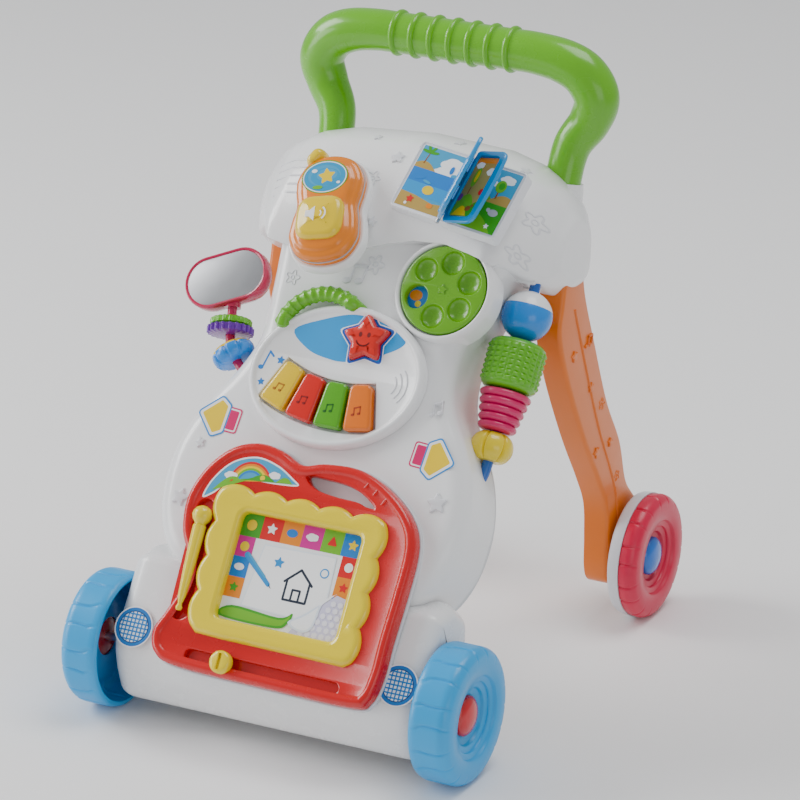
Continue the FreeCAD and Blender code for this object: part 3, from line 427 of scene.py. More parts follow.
def merge(parts):
    """Several (verts, faces) or (verts, faces, colours) lists as one."""
    verts, faces, colours = [], [], []
    for part in parts:
        base = len(verts)
        verts += part[0]
        faces += [[base + i for i in face] for face in part[1]]
        if len(part) > 2:
            colours += part[2]
    return verts, faces, colours


def assembled(name, parts, where, slot, body, **kw):
    """Several parts as one piece."""
    verts, faces, colours = merge(parts)
    return build(name, verts, faces, where, slot, body, colours=colours or None, **kw)


def art(name, where, height, shapes, slot, body, thick=0.05, gap=0.03):
    """A printed picture: coloured flat shapes, each a hair above the last."""
    parts = []
    for layer, (colour, loop) in enumerate(shapes):
        low = height + gap * layer
        v, f = relief_data(ccw(loop), [(0, low), (0, low + thick)])
        parts.append((v, f, [colour] * len(f)))
    return assembled(name, parts, where, slot, body, smooth=False)


def turned_data(profile, count=64, wave=None, closed=True):
    """(x, radius) profile turned about local x; wave(angle, i) gives extra radius at each point."""
    verts = []
    faces = []
    rows = len(profile)
    for k in range(count):
        a = TAU * k / count
        for i, (x, r) in enumerate(profile):
            q = r + (wave(a, i) if wave else 0.0)
            verts.append((x, q * math.cos(a), q * math.sin(a)))
    for k in range(count):
        n = (k + 1) % count
        for i in range(rows if closed else rows - 1):
            j = (i + 1) % rows
            faces.append([k * rows + i, k * rows + j, n * rows + j, n * rows + i])
    return verts, faces


def turned_piece(name, profile, where, slot, body, count=64, wave=None, closed=True, **kw):
    verts, faces = turned_data(profile, count, wave, closed)
    if not closed:
        verts, faces = weld_poles(verts, faces, profile, count)
    return build(name, verts, faces, where, slot, body, **kw)


def weld_poles(verts, faces, profile, count):
    """Joins the points of a turned shape that lie on its axis."""
    rows = len(profile)
    remap = {}
    for i in (0, rows - 1):
        if profile[i][1] < 1e-6:
            for k in range(count):
                remap[k * rows + i] = i
    fixed = []
    for face in faces:
        seen = []
        for v in face:
            v = remap.get(v, v)
            if v not in seen:
                seen.append(v)
        if len(seen) > 2:
            fixed.append(seen)
    used = sorted({v for face in fixed for v in face})
    index = {v: k for k, v in enumerate(used)}
    return [verts[v] for v in used], [[index[v] for v in face] for face in fixed]


def curve_points(points, steps=10, closed=False):
    """Catmull-Rom points in space through a few control points."""
    pts = [Vector(p) for p in points]
    count = len(pts)
    out = []
    last = count if closed else count - 1
    for i in range(last):
        a = pts[i - 1] if closed or i else pts[0] * 2 - pts[1]
        b = pts[i]
        c = pts[(i + 1) % count]
        d = pts[(i + 2) % count] if closed or i + 2 < count else c * 2 - b
        for k in range(steps):
            t = k / steps
            out.append(0.5 * ((2 * b) + (c - a) * t + (2 * a - 5 * b + 4 * c - d) * t * t
                              + (3 * b - a - 3 * c + d) * t ** 3))
    if not closed:
        out.append(pts[-1])
    return out


def tube_faces(rows, count, closed=False):
    """Faces between rows of points, with flat ends unless the rows close on themselves."""
    faces = []
    for i in range(rows if closed else rows - 1):
        j = (i + 1) % rows
        for k in range(count):
            n = (k + 1) % count
            faces.append([i * count + k, i * count + n, j * count + n, j * count + k])
    if not closed:
        faces.append(list(range(count))[::-1])
        faces.append(list(range((rows - 1) * count, rows * count)))
    return faces


def sweep_data(path, radius, count=20, closed=False, wave=None):
    """A bar along a path; radius is a number or a function of the share of its length.
    wave(share, angle) adds to the radius."""
    pts = [Vector(p) for p in path]
    lengths = [0.0]
    for a, b in zip(pts, pts[1:]):
        lengths.append(lengths[-1] + (b - a).length)
    total = lengths[-1]
    verts = []
    side = None
    for i, p in enumerate(pts):
        before = pts[i - 1] if closed or i else p
        after = pts[(i + 1) % len(pts)] if closed or i + 1 < len(pts) else p
        tangent = (after - before).normalized()
        if side is None:
            side = tangent.cross(UP if abs(tangent.dot(UP)) < 0.9 else Vector((0, 1, 0))).normalized()
        side = (side - tangent * side.dot(tangent)).normalized()
        other = tangent.cross(side)
        share = lengths[i] / total
        r = radius(share) if callable(radius) else radius
        for k in range(count):
            a = TAU * k / count
            q = r + (wave(share, a) if wave else 0.0)
            verts.append(tuple(p + side * (q * math.cos(a)) + other * (q * math.sin(a))))
    return verts, tube_faces(len(pts), count, closed)


def sweep(name, path, radius, where, slot, body, count=20, closed=False, wave=None, **kw):
    verts, faces = sweep_data(path, radius, count, closed, wave)
    return build(name, verts, faces, where, slot, body, **kw)


def surface_of(obj):
    """A search tree of a finished piece, in row-frame metres."""
    mesh = obj.data
    return BVHTree.FromPolygons([v.co[:] for v in mesh.vertices], [p.vertices[:] for p in mesh.polygons])


def draped(name, parts, where, tree, slot, body, reach=80.0, **kw):
    """Low shapes laid on a curved surface: each point drops along the frame's normal."""
    verts, faces, colours = merge(parts)
    down = (where.to_3x3() @ Vector((0, 0, -1))).normalized()
    laid = []
    for x, y, z in verts:
        start = (where @ Vector((x, y, reach))) * MM
        hit = tree.ray_cast(start, down)[0]
        spot = hit if hit is not None else (where @ Vector((x, y, 0))) * MM
        laid.append((spot - down * (z * MM)) / MM)
    return build(name, laid, faces, WORLD, slot, body, colours=colours or None, **kw)


# ---- front shell and base

def mirrored(points):
    return points + [(-x, y) for x, y in reversed(points) if abs(x) > 1e-6]


SHELL_RIGHT = [(0, -114), (50, -114), (88, -110), (107, -95), (119, -68), (121, -35), (115, -8), (104, 15),
               (88, 40), (81.5, 62), (82, 85), (86, 100), (92, 121), (96, 140), (96, 158), (0, 160)]
SHELL_LEFT = [(-82, 158), (-81.5, 140), (-80, 121), (-78.5, 100), (-77.5, 82), (-78, 64)]
shell_points = SHELL_RIGHT + SHELL_LEFT + [(-x, s) for x, s in reversed(SHELL_RIGHT) if 0 < x and s < 50]
shell_outline = smooth_loop(shell_points, 8)
shell = relief("shell_face", shell_outline, edge(-56, 0, 15, 9), PANEL, "white_shell", "chassis", under=False)
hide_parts("front_shell")

# The dial's collar: a raised white rim moulded with the shell.
collar_profile = [(-14, 33.8), (5, 33.8), (6.4, 34.4), (6.9, 35.4), (6.4, 36.6), (4.5, 37.6), (0, 38.2),
                  (-14, 38.6)]
AXIAL = Matrix.Rotation(math.radians(-90), 4, "Y")
turned_piece("dial_collar", collar_profile, DIAL @ AXIAL, "white_shell", "chassis", 96)

PANEL_LEAN = math.tan(math.radians(34))


def panel_y(z):
    return PANEL_Y + (z - PANEL_Z) * PANEL_LEAN


# The base's side outline, in (y, z): it follows the panel's slope, then rolls under to its foot.
base_side = rounded(
    [(panel_y(118) + 1, 117), (panel_y(62), 62), (-191, 38), (-184, 15), (-112, 15), (-108, 100), (-130, 118)],
    [10, 30, 22, 12, 6, 20, 12], 8)
BASE_HALF = 124
CONSOLE_HALF = 124
END_ROUND = 14


def base_swell(x):
    """How far the base's end has rounded in at a given x."""
    reach = max(0.0, (abs(x) - (BASE_HALF - END_ROUND)) / END_ROUND)
    return END_ROUND * (1 - math.sqrt(max(0.0, 1 - reach * reach))) * 0.7


def lofted(name, section, stations, slot, body, **kw):
    """A closed section (x -> list of world points) through a list of stations, with flat ends."""
    verts = []
    for x in stations:
        verts += section(x)
    faces = tube_faces(len(stations), len(verts) // len(stations))
    return build(name, verts, faces, WORLD, slot, body, **kw)


def base_section(x):
    loop = inset(ccw(base_side), base_swell(x))
    return [(x, y, z) for y, z in loop]


ends = [BASE_HALF - END_ROUND * (1 - math.sin(math.pi / 2 * k / 8)) for k in range(9)]
base_stations = [-x for x in reversed(ends)] + list(np.linspace(-105, 105, 15)) + ends
base = lofted("base_face", base_section, base_stations, "white_base", "chassis")
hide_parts("base_shell")

# ---- console

# Where the console's lip meets the panel: its distance up the slope at each x. It arches over the dial.
LIP_X = [-92, -70, -40, -10, 9, 30, 55, 76, 92]
LIP_S = [142, 138, 138, 144, 150, 155, 156, 152, 148]
# The console's outline in (y, z) at growing |x|: front foot, nose, deck, crest, back and underside.
CONSOLE_X = [0, 60, 84, 96, 106, 114, 120]
CONSOLE_SHAPE = [
    [(-20, 326), (-25, 340), (-1, 368), (24, 388), (46, 394), (84, 386), (112, 364), (118, 340), (104, 308),
     (40, 298)],
    [(-20, 326), (-25, 338), (-2, 364), (22, 383), (46, 389), (84, 382), (112, 361), (118, 338), (104, 306),
     (40, 298)],
    [(-17, 326), (-21, 336), (0, 359), (24, 377), (46, 383), (80, 377), (108, 358), (114, 334), (101, 298),
     (44, 294)],
    [(-4, 322), (-11, 334), (6, 354), (28, 371), (48, 377), (78, 371), (104, 354), (110, 330), (98, 290),
     (50, 290)],
    [(8, 314), (3, 328), (14, 349), (33, 364), (50, 370), (76, 364), (100, 348), (106, 326), (96, 288),
     (54, 287)],
    [(18, 308), (14, 322), (24, 345), (40, 357), (54, 361), (74, 356), (95, 342), (100, 322), (92, 288),
     (56, 286)],
    [(26, 308), (22, 322), (32, 341), (45, 350), (57, 354), (73, 349), (90, 337), (94, 320), (88, 292),
     (58, 289)],
]


def console_section(x):
    """The section at x, with its foot on the lip line and its ends rounded in."""
    reach = min(abs(x), CONSOLE_X[-1])
    pts = []
    for k in range(len(CONSOLE_SHAPE[0])):
        y = np.interp(reach, CONSOLE_X, [row[k][0] for row in CONSOLE_SHAPE])
        z = np.interp(reach, CONSOLE_X, [row[k][1] for row in CONSOLE_SHAPE])
        pts.append((float(y), float(z)))
    if abs(x) <= LIP_X[-1]:
        s = float(np.interp(x, LIP_X, LIP_S))
        fade = 1 - max(0.0, (abs(x) - 84) / 8)
        foot = (PANEL_Y + SLOPE_Y * (s - 2) + SLOPE_Z * 2, PANEL_Z + SLOPE_Z * (s - 2) - SLOPE_Y * 2)
        nose = (PANEL_Y + SLOPE_Y * s - SLOPE_Z * 9, PANEL_Z + SLOPE_Z * s + SLOPE_Y * 9)
        for k, spot in enumerate((foot, nose)):
            pts[k] = (pts[k][0] + (spot[0] - pts[k][0]) * fade, pts[k][1] + (spot[1] - pts[k][1]) * fade)
    loop = smooth_loop(pts, 10)
    end = abs(x) - (CONSOLE_HALF - END_ROUND)
    if end > 0:
        size = 1 - 0.42 * (1 - math.sqrt(max(0.0, 1 - (end / END_ROUND) ** 2)))
        loop = [(58 + (y - 58) * size, 322 + (z - 322) * size) for y, z in loop]
    return [(x, y, z) for y, z in loop]


half_stations = [float(x) for x in np.linspace(0, 108, 37)]
half_stations += [CONSOLE_HALF - END_ROUND * (1 - math.sin(math.pi / 2 * k / 10)) for k in range(10)]
stations = [-x for x in reversed(half_stations[1:])] + half_stations
console = lofted("console_face", console_section, stations, "white_console", "chassis", sharp=70)
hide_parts("console_shell")
deck_tree = surface_of(console)

# ---- embossed shapes on the mouldings, coloured darker as painted shade


def raised(loop):
    """A low pad with a rounded edge."""
    return relief_data(ccw(loop), edge(-1.0, 1.3, 0.8, 3))


def ridge(points, radius=0.95, closed=False):
    """A low half-round line."""
    path = [Vector((x, y, 0)) for x, y in points]
    return sweep_data(path, radius, 8, closed)


def note(x, y, size=1.0, turn=0.0):
    """A pair of joined musical notes."""
    parts = []
    for shape in (oval(3.4, 2.6, -5, -6, 20, 20), oval(3.4, 2.6, 5, -4, 20, 20), slot_loop(-2, -6, -2, 7, 0.8),
                  slot_loop(8, -4, 8, 9, 0.8), [(-2.8, 5), (8.8, 7.2), (8.8, 10.2), (-2.8, 8)]):
        parts.append(raised(moved(shape, x, y, turn, size)))
    return parts


def flower(x, y, size=1.0, turn=0.0):
    """A five-petalled outline with a ring in its middle."""
    pts = []
    for k in range(60):
        a = TAU * k / 60
        r = 6.2 + 1.9 * math.cos(5 * a)
        pts.append((r * math.cos(a), r * math.sin(a)))
    petals = moved(pts, x, y, turn, size)
    eye = moved(oval(2.0, 2.0, 0, 0, 20), x, y, turn, size)
    return [ridge(petals, 0.7 * size, True), ridge(eye, 0.6 * size, True)]


panel_parts = []
for x, y, size, turn in ((99, -30, 9, 10), (-100, -62, 8, -12), (-96, -20, 5, 20)):
    panel_parts.append(raised(star_loop(x, y, size, 0.5, turn, 1.2)))
panel_parts += note(79, 36, 0.62, 10)
panel_parts += note(-12, 122, 0.95, -6)
panel_parts += flower(2, 132, 0.9, 0)
panel_parts += flower(-60, 112, 0.7, 10)
# The panel's raised shapes take the darker emboss grey: painted shade for the small shadows round them.
assembled("panel_emboss_painted_shade", panel_parts, PANEL, "white_shell", "chassis", material=EMBOSS_PAINTED_SHADE)

deck_parts = []
for x, y, size, turn in ((-2, 66, 6.5, 10), (12, 82, 4.5, -10), (88, 82, 4.5, 0), (-28, 84, 4, 12),
                         (30, 96, 5, 0), (-4, 14, 4.5, -12)):
    deck_parts.append(raised(star_loop(x, y, size, 0.5, turn, 1.0)))
deck_parts += flower(-14, 46, 0.75, 0)
deck_parts += flower(108, 44, 0.95, 0)
deck_parts += flower(104, 16, 0.85, 30)
for k in range(5):
    deck_parts.append(ridge([(-88 + 1.6 * k - 11, 52 - 7 * k), (-84 + 1.2 * k, 54.5 - 7 * k),
                             (-70 + k, 55 - 7 * k)], 0.8))
# The deck's raised shapes take the darker emboss grey: painted shade for the small shadows round them.
draped("deck_emboss_painted_shade", deck_parts, DECK, deck_tree, "white_console", "chassis", material=EMBOSS_PAINTED_SHADE)

# ---- push handle

HANDLE_RING_PITCH = 15.5
handle_right = [(93, 88, 330), (94, 95, 358), (97, 104, 385), (108, 110, 404), (113, 110.5, 422),
                (104, 110, 438),
                (88, 109, 446.5), (66, 108.5, 450), (40, 108.5, 450.3)]
handle_path = curve_points(handle_right + [(-x, y, z) for x, y, z in reversed(handle_right)], 12)


def handle_radius(share):
    """Slim feet, fat elbows, and an even bar between them."""
    u = min(share, 1 - share)
    return 13.4 + 2.3 * math.exp(-((u - 0.235) / 0.08) ** 2) + 1.9 * min(1.0, max(0.0, (u - 0.1) / 0.2))


handle = sweep("handle_bar", handle_path, handle_radius, WORLD, "lime_handle", "chassis", 40)
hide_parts("push_handle")
ring_profile = [(-2.6, 14.9), (-2.2, 16.2), (-1.2, 17.2), (0, 17.5), (1.2, 17.2), (2.2, 16.2), (2.6, 14.9)]
for k in range(-3, 4):
    where = Matrix.Translation((k * HANDLE_RING_PITCH, 108.5, 450.3))
    turned_piece("handle_ring_%d" % (k + 4), ring_profile, where, "lime_handle", "chassis", 48)
for side in (1, -1):
    foot = [Vector((side * 93, 90.5, 338)), Vector((side * 93.6, 96, 360))]
    sweep("handle_socket_%s" % ("right" if side > 0 else "left"), curve_points(foot, 6),
          lambda u: 16.8 - 1.2 * u ** 3, WORLD, "white_console", "chassis", 40)

# ---- wheels


def tyre_profile(width, radius, back):
    """From the inner edge over the tread and the stepped outer face to the hub."""
    pts = [(0.0, radius - 4.6), (0.0, radius - 2.4), (0.8, radius - 1.2), (2.5, radius - 0.5), (5, radius)]
    for x in np.linspace(5, width - 8, 12)[1:]:
        pts.append((float(x), radius))
    for k in range(1, 8):
        a = math.pi / 2 * k / 8
        pts.append((width - 8 + 8 * math.sin(a), radius - 8 + 8 * math.cos(a)))
    face = [(width, radius - 11), (width - 0.2, radius - 18.5)]
    steps = [(width - 0.9, radius - 19.3), (width - 2.6, radius - 19.6), (width - 3.1, radius - 20.4),
             (width - 3.2, radius - 23.6), (width - 3.7, radius - 24.2), (width - 5.2, radius - 24.4),
             (width - 5.7, radius - 25.2), (width - 5.8, radius - 28.2), (width - 6.3, radius - 28.8),
             (width - 8.2, radius - 29.0), (width - 8.8, radius - 29.8), (width - 9, radius - 33.4)]
    return pts + face + steps + back


def tread(width, radius, count):
    """Engraved tread: short hooked lines across the tyre, as a negative wave."""
    def cut(profile):
        def wave(angle, i):
            x, r = profile[i]
            if r < radius - 10.5 or x < 3:
                return 0.0
            phase = (angle / TAU * count) % 1.0
            second = int(angle / TAU * count) % 2
            bow = math.sin(min(1.0, max(0.0, (x - 6) / (width - 6))) * math.pi)
            line = 0.5 + (0.10 if second else -0.10) * bow
            hook = 0.16 * max(0.0, 1 - (x - 4) / 5.0)
            gap = abs(phase - line - hook) * TAU * radius / count
            depth = max(0.0, 1 - (gap / 1.1) ** 2)
            fade = min(1.0, max(0.0, (x - 3.5) / 2.0)) * min(1.0, max(0.0, (r - (radius - 9.5)) / 2.0))
            return -1.0 * depth * fade
        return wave
    return cut


FRONT_AXLE = (-162, 50)
REAR_AXLE = (164, 48)
TREAD_BLOCKS = 18
TYRE_STEPS = 432
FRONT_BACK = [(20, 14.4), (17.4, 14.4), (17.4, 30), (22, 36), (22, 42), (19, 44.6), (6, 45.2)]
for side, label in SIDES:
    hub = Matrix.Translation((side * 126.5, *FRONT_AXLE)) @ OUTWARDS[side]
    profile = tyre_profile(30.5, 50, FRONT_BACK)
    tyre = turned_piece("front_%s_tyre_body" % label, profile, hub, "blue_tyre", "front_%s_wheel" % label,
                        TYRE_STEPS,
                        tread(30.5, 50, TREAD_BLOCKS)(profile), sharp=50)
    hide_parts("front_%s_tyre" % label)
    cap = [(19, 14.8), (21.8, 14.8), (22.8, 14.3), (24.6, 12.4), (26, 9.4), (27, 5.2), (27.4, 0)]
    piece = turned_piece("front_%s_cap" % label, [(19, 0)] + cap, hub, "red_cap", "front_%s_wheel" % label, 48,
                         closed=False)
    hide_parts("front_%s_hub_cap" % label)
    hub = Matrix.Translation((side * 125.5, *REAR_AXLE)) @ OUTWARDS[side]
    profile = [(10.2 + x, r) for x, r in tyre_profile(13.3, 48, [])]
    profile = profile[5:] + [(14, 14.4), (10.2, 14.4), (10.2, 47.2)]
    wave = tread(23.5, 48, TREAD_BLOCKS)(profile)
    tyre = turned_piece("rear_%s_tyre_body" % label, profile, hub, "crimson_tyre", "rear_%s_wheel" % label,
                        TYRE_STEPS, wave,
                        sharp=50)
    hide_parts("rear_%s_tyre" % label)
    cap = [(x - 19 + 14, r) for x, r in [(19, 0)] + cap]
    piece = turned_piece("rear_%s_cap" % label, cap, hub, "blue_cap", "rear_%s_wheel" % label, 48, closed=False)
    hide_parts("rear_%s_hub_cap" % label)
    disc = [(0, 3.2), (0, 44.5), (1, 46.6), (3, 47.6), (10, 48), (10, 3.2)]
    piece = turned_piece("rear_%s_backing" % label, disc, hub, "grey_disc", "rear_%s_wheel" % label, 96)
    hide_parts("rear_%s_disc" % label)

# ---- rear legs

# A leg's outline from the side, in (y, z): down its front edge, round the wheel end and up its back.
LEG = [(52, 318), (42, 286), (38, 262), (53, 222), (83, 167), (111, 124), (125, 98), (127.5, 70), (128, 46),
       (134, 33), (150, 26),
       (172, 24), (192, 34), (199, 52), (193, 74), (175, 92), (160, 110), (148, 145), (123, 186), (100, 238),
       (82, 281),
       (72, 318)]
LEG_X = 102
LEG_THICK = 19.5
leg_loop = smooth_loop(LEG, 8)


for side, label in SIDES:
    where = Matrix.Translation((side * LEG_X, 0, 0)) @ SIDE[side]
    data = relief_data(leg_loop, edge(0, LEG_THICK, 3.4, 5))
    faces = data[1] if side > 0 else [face[::-1] for face in data[1]]
    leg = build("leg_%s_channel" % label, data[0], faces, where, "orange_leg", "chassis")
    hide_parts("rear_leg_" + label)
    parts = []
    spine = [(62, 276), (84, 222), (108, 168), (132, 124), (143, 96), (146, 66)]
    curve = [(p.x, p.y) for p in curve_points([(y, z, 0) for y, z in spine], 8)]
    parts.append(ridge(curve, 1.1))
    for y, z, size, turn in ((62, 240, 5.5, 10), (92, 206, 5, 0), (104, 150, 5.5, 20), (128, 150, 4.5, 0)):
        parts.append(raised(star_loop(y, z, size, 0.5, turn, 0.8)))
    parts += note(86, 244, 0.6, -15)
    parts += flower(112, 186, 0.6, 0)
    parts += flower(142, 118, 0.55, 30)
    v, f, _ = merge(parts)
    f = f if side > 0 else [face[::-1] for face in f]
    top = Matrix.Translation((side * (LEG_X + LEG_THICK), 0, 0)) @ SIDE[side]
    build("leg_%s_emboss" % label, v, f, top, "orange_leg", "chassis")
    boss = [(0, 3.2), (0, 14), (3.4, 12.5), (3.4, 3.2)]
    turned_piece("leg_%s_boss" % label, boss,
                 Matrix.Translation((side * (LEG_X + LEG_THICK), *REAR_AXLE)) @ OUTWARDS[side],
                 "orange_leg", "chassis", 40)

# ---- phone and its cradle

PHONE_SHAPE = smooth_loop(mirrored([(0, -42.5), (17, -38), (25.5, -25), (25.2, -11), (23.0, 1), (25, 13),
                                    (24.8, 25),
                                    (16.4, 38), (0, 42.5)]), 8)
WHITE = (0.88, 0.89, 0.90)
PAPER = (0.94, 0.95, 0.96)
SEA = (0.02, 0.42, 0.72)
GREY = (0.45, 0.46, 0.50)
BLUE = (0.02, 0.30, 0.75)
SKY = (0.30, 0.68, 0.95)
GREEN = (0.12, 0.50, 0.05)
LEAF = (0.30, 0.66, 0.08)
YELLOW = (0.98, 0.74, 0.0)
ORANGE = (0.95, 0.36, 0.02)
RED = (0.82, 0.03, 0.03)
SAND = (0.95, 0.78, 0.48)
PINK = (0.85, 0.10, 0.42)
BROWN = (0.45, 0.20, 0.06)
LILAC = (0.62, 0.60, 0.80)
BEAD_BLUE = (0.02, 0.36, 0.88)
BEAD_GREEN = (0.22, 0.62, 0.03)
STICKER_RED = (0.80, 0.01, 0.22)
LAMP_BLUE = (0.02, 0.32, 0.72)

rim = inset(PHONE_SHAPE, -3)
cradle = relief("cradle_rim", rim, [(0, -4), (0, 3), (0.6, 4), (1.5, 4.3), (2.2, 4)], PHONE, "white_console",
                "chassis")
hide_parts("phone_cradle")
phone_profile = edge(0.4, 15.5, 5, 5) + [(5.6, 15.9), (6.6, 17.2), (8.2, 18.0), (11, 18.6)]
phone = relief("phone_shell", PHONE_SHAPE, phone_profile, PHONE, "phone_orange", "phone")
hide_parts("phone_case")
seam = [Vector((x, y, 8.5)) for x, y in inset(PHONE_SHAPE, -0.15)]
sweep("phone_seam", seam, 0.55, PHONE, "phone_orange", "phone", 8, closed=True,
      material=MATERIALS["battery_grey"])
nub = relief("phone_nub", slot_loop(-15, 40, -12, 44, 6.3), dome(5, 17, 5), PHONE, "phone_yellow", "phone")
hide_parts("phone_antenna")
button = relief("phone_key", box_loop(36, 35, 13, -1, -11.5),
                edge(14, 24, 6, 7) + [(9, 25.0), (12, 25.6), (15, 26)], PHONE,
                "phone_yellow", "phone_button")
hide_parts("phone_button")
art("phone_key_mark", PHONE, 26.02, [
    (WHITE, [(-9.5, -14), (-6.5, -14), (-2.5, -17.5), (-2.5, -5.5), (-6.5, -9), (-9.5, -9)]),
    (WHITE, arc_points(0, -11.5, 3.2, 3.2, -0.9, 0.9, 8) + arc_points(0, -11.5, 2.2, 2.2, 0.9, -0.9, 8)),
    (WHITE, arc_points(0, -11.5, 6.4, 6.4, -0.9, 0.9, 10) + arc_points(0, -11.5, 5.2, 5.2, 0.9, -0.9, 10)),
], "sticker_print", "phone_button")
art("phone_sticker", PHONE, 18.62, [
    (GREEN, oval(17.6, 13.6, -1.5, 22, 48)),
    (WHITE, oval(16.8, 12.8, -1.5, 22, 48)),
    (SEA, oval(16.0, 12.0, -1.5, 22, 48)),
    (SKY, oval(12.5, 8.6, -2, 23, 40)), (SEA, oval(11.2, 7.2, -1, 22, 40)),
    (SKY, oval(8.0, 5.0, 0, 23.5, 36)),
    (YELLOW, star_loop(0, 22.5, 7.2, 0.52, 8, 0.8)),
    (WHITE, oval(2.2, 1.5, -10, 27, 16)),
    (WHITE, oval(1.5, 1.1, 9.5, 17, 16)), (LEAF, oval(4.0, 1.6, -6, 13.5, 18)),
], "sticker_print", "phone")

# ---- picture book

book = relief("book_tray", box_loop(90, 56, 4),
              [(0, -6), (0, 3.6), (0.35, 4.3), (0.9, 4.6), (1.5, 4.3), (1.8, 3.8)], BOOK,
              "book_white", "chassis")
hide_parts("book_base")


def clipped(loop, x0, y0, x1, y1):
    """A loop cut to a rectangle."""
    for axis, limit, keep in ((0, x0, 1), (0, x1, -1), (1, y0, 1), (1, y1, -1)):
        out = []
        for i, p in enumerate(loop):
            q = loop[(i + 1) % len(loop)]
            inside_p = (p[axis] - limit) * keep >= 0
            inside_q = (q[axis] - limit) * keep >= 0
            if inside_p:
                out.append(p)
            if inside_p != inside_q:
                t = (limit - p[axis]) / (q[axis] - p[axis])
                out.append((p[0] + (q[0] - p[0]) * t, p[1] + (q[1] - p[1]) * t))
        loop = out
        if len(loop) < 3:
            return None
    return loop


def picture(shapes, x0, y0, x1, y1):
    out = []
    for colour, loop in shapes:
        loop = clipped(list(loop), x0, y0, x1, y1)
        if loop and abs(area(loop)) > 0.2:
            out.append((colour, loop))
    return out


def rect(x0, y0, x1, y1):
    return [(x0, y0), (x1, y0), (x1, y1), (x0, y1)]


def hill(x0, x1, base, top, count=16):
    """A rounded hill standing on a base line."""
    pts = [(x0, base), (x1, base)]
    for k in range(count + 1):
        t = 1 - k / count
        pts.append((x0 + (x1 - x0) * t, base + (top - base) * math.sin(math.pi * t)))
    return pts


def puff(x, y, size):
    """A cloud outline."""
    pts = []
    for k in range(48):
        a = TAU * k / 48
        r = size * (1 + 0.16 * abs(math.sin(2.5 * a)))
        pts.append((x + 1.4 * r * math.cos(a), y + 0.8 * r * math.sin(a)))
    return pts


def palm(x, y, size):
    shapes = [(BROWN, [(x - 0.5, y), (x + 0.5, y), (x + 1.3, y + size), (x + 0.7, y + size)])]
    for turn in (10, 60, 120, 170):
        leaf = moved(oval(size * 0.42, size * 0.13, size * 0.38, 0, 16), x + 1, y + size, turn)
        shapes.append((GREEN, leaf))
    return shapes


beach = [(SKY, rect(-43, -26, -1, 26)), (WHITE, puff(-12, 15, 7)), (WHITE, puff(-18, 8, 5)),
         (SAND, hill(-46, -24, 7, 13)), (BLUE, rect(-43, -14, -1, 7)),
         ((0.05, 0.45, 0.85), rect(-43, -14, -1, -4)),
         (SAND, [(-43, -26), (-1, -26), (-1, -15), (-14, -17), (-30, -14), (-43, -13)])]
beach += palm(-36, 11, 9)
beach += [(BLUE, moved(oval(4.4, 1.5, 0, 0, 20), -33, 0, 20)),
          (SKY, moved(oval(3.5, 1.0, 0, 0, 20), -26, -2, -10)),
          (YELLOW, oval(4.6, 3.6, -22, -8, 24)), (RED, star_loop(-32, -18, 3.6, 0.5, 10, 0.5)),
          (ORANGE, oval(2.6, 2.0, -15, -19, 20)), (WHITE, oval(1.2, 1.2, -34, -22, 12)),
          (BLUE, oval(1.6, 3.2, -12, 12, 16))]
meadow = [(SKY, rect(1, -26, 43, 26)), (WHITE, puff(33, 18, 4)), (WHITE, puff(22, 13, 3)),
          (LEAF, hill(-4, 30, -2, 9)), (SAND, hill(22, 52, -4, 6)), (GREEN, rect(1, -26, 43, -2)),
          (LEAF, hill(1, 40, -26, -12)), (BROWN, rect(29.3, 2, 30.5, 10)), (LEAF, oval(4.2, 5, 30, 12, 24)),
          (GREEN, oval(2.4, 2.8, 30.5, 12.5, 18)), (YELLOW, star_loop(14, -18, 2.4, 0.5, 0, 0.3)),
          (WHITE, star_loop(34, -20, 2.4, 0.5, 15, 0.3)), (GREY, oval(4, 2.8, 34, -9, 20)),
          (GREY, oval(1.6, 1.6, 29.5, -7.6, 16))]
art("book_art", BOOK, 3.82, picture(beach, -42, -25, -1.5, 25) + picture(meadow, 1.5, -25, 42, 25),
    "sticker_print", "chassis", thick=0.04, gap=0.02)

page_art = [((0.98, 0.90, 0.62), rect(8, -30, 42, 30)), (ORANGE, rect(8, 20, 42, 30)),
            (SAND, rect(8, 14, 42, 20)),
            (WHITE, puff(32, 13, 3.5)), (WHITE, puff(16, 18, 3)), (BROWN, rect(17.4, -8, 18.6, 2)),
            (LEAF, oval(3.4, 8, 18, 8, 24)), (YELLOW, oval(1.8, 5, 18.4, 9, 20)), (LEAF, hill(4, 36, -26, -6)),
            (GREEN, hill(20, 50, -26, -12)), (YELLOW, hill(10, 30, -27, -16)),
            (RED, oval(2.6, 2.6, 32, -4, 20)),
            ((0.52, 0.25, 0.62), oval(2.4, 3.2, 12, -9, 18)), (BROWN, oval(3.2, 2.2, 27, -18, 18)),
            (BROWN, oval(1.3, 1.3, 30.6, -15.6, 14)), (GREEN, rect(8, -30, 42, -24))]
PAGE_REST = {"left": 61, "right": 27}
KNUCKLES = {"left": [(-23, -12), (0, 11)], "right": [(-11.5, -0.5), (11.5, 23)]}
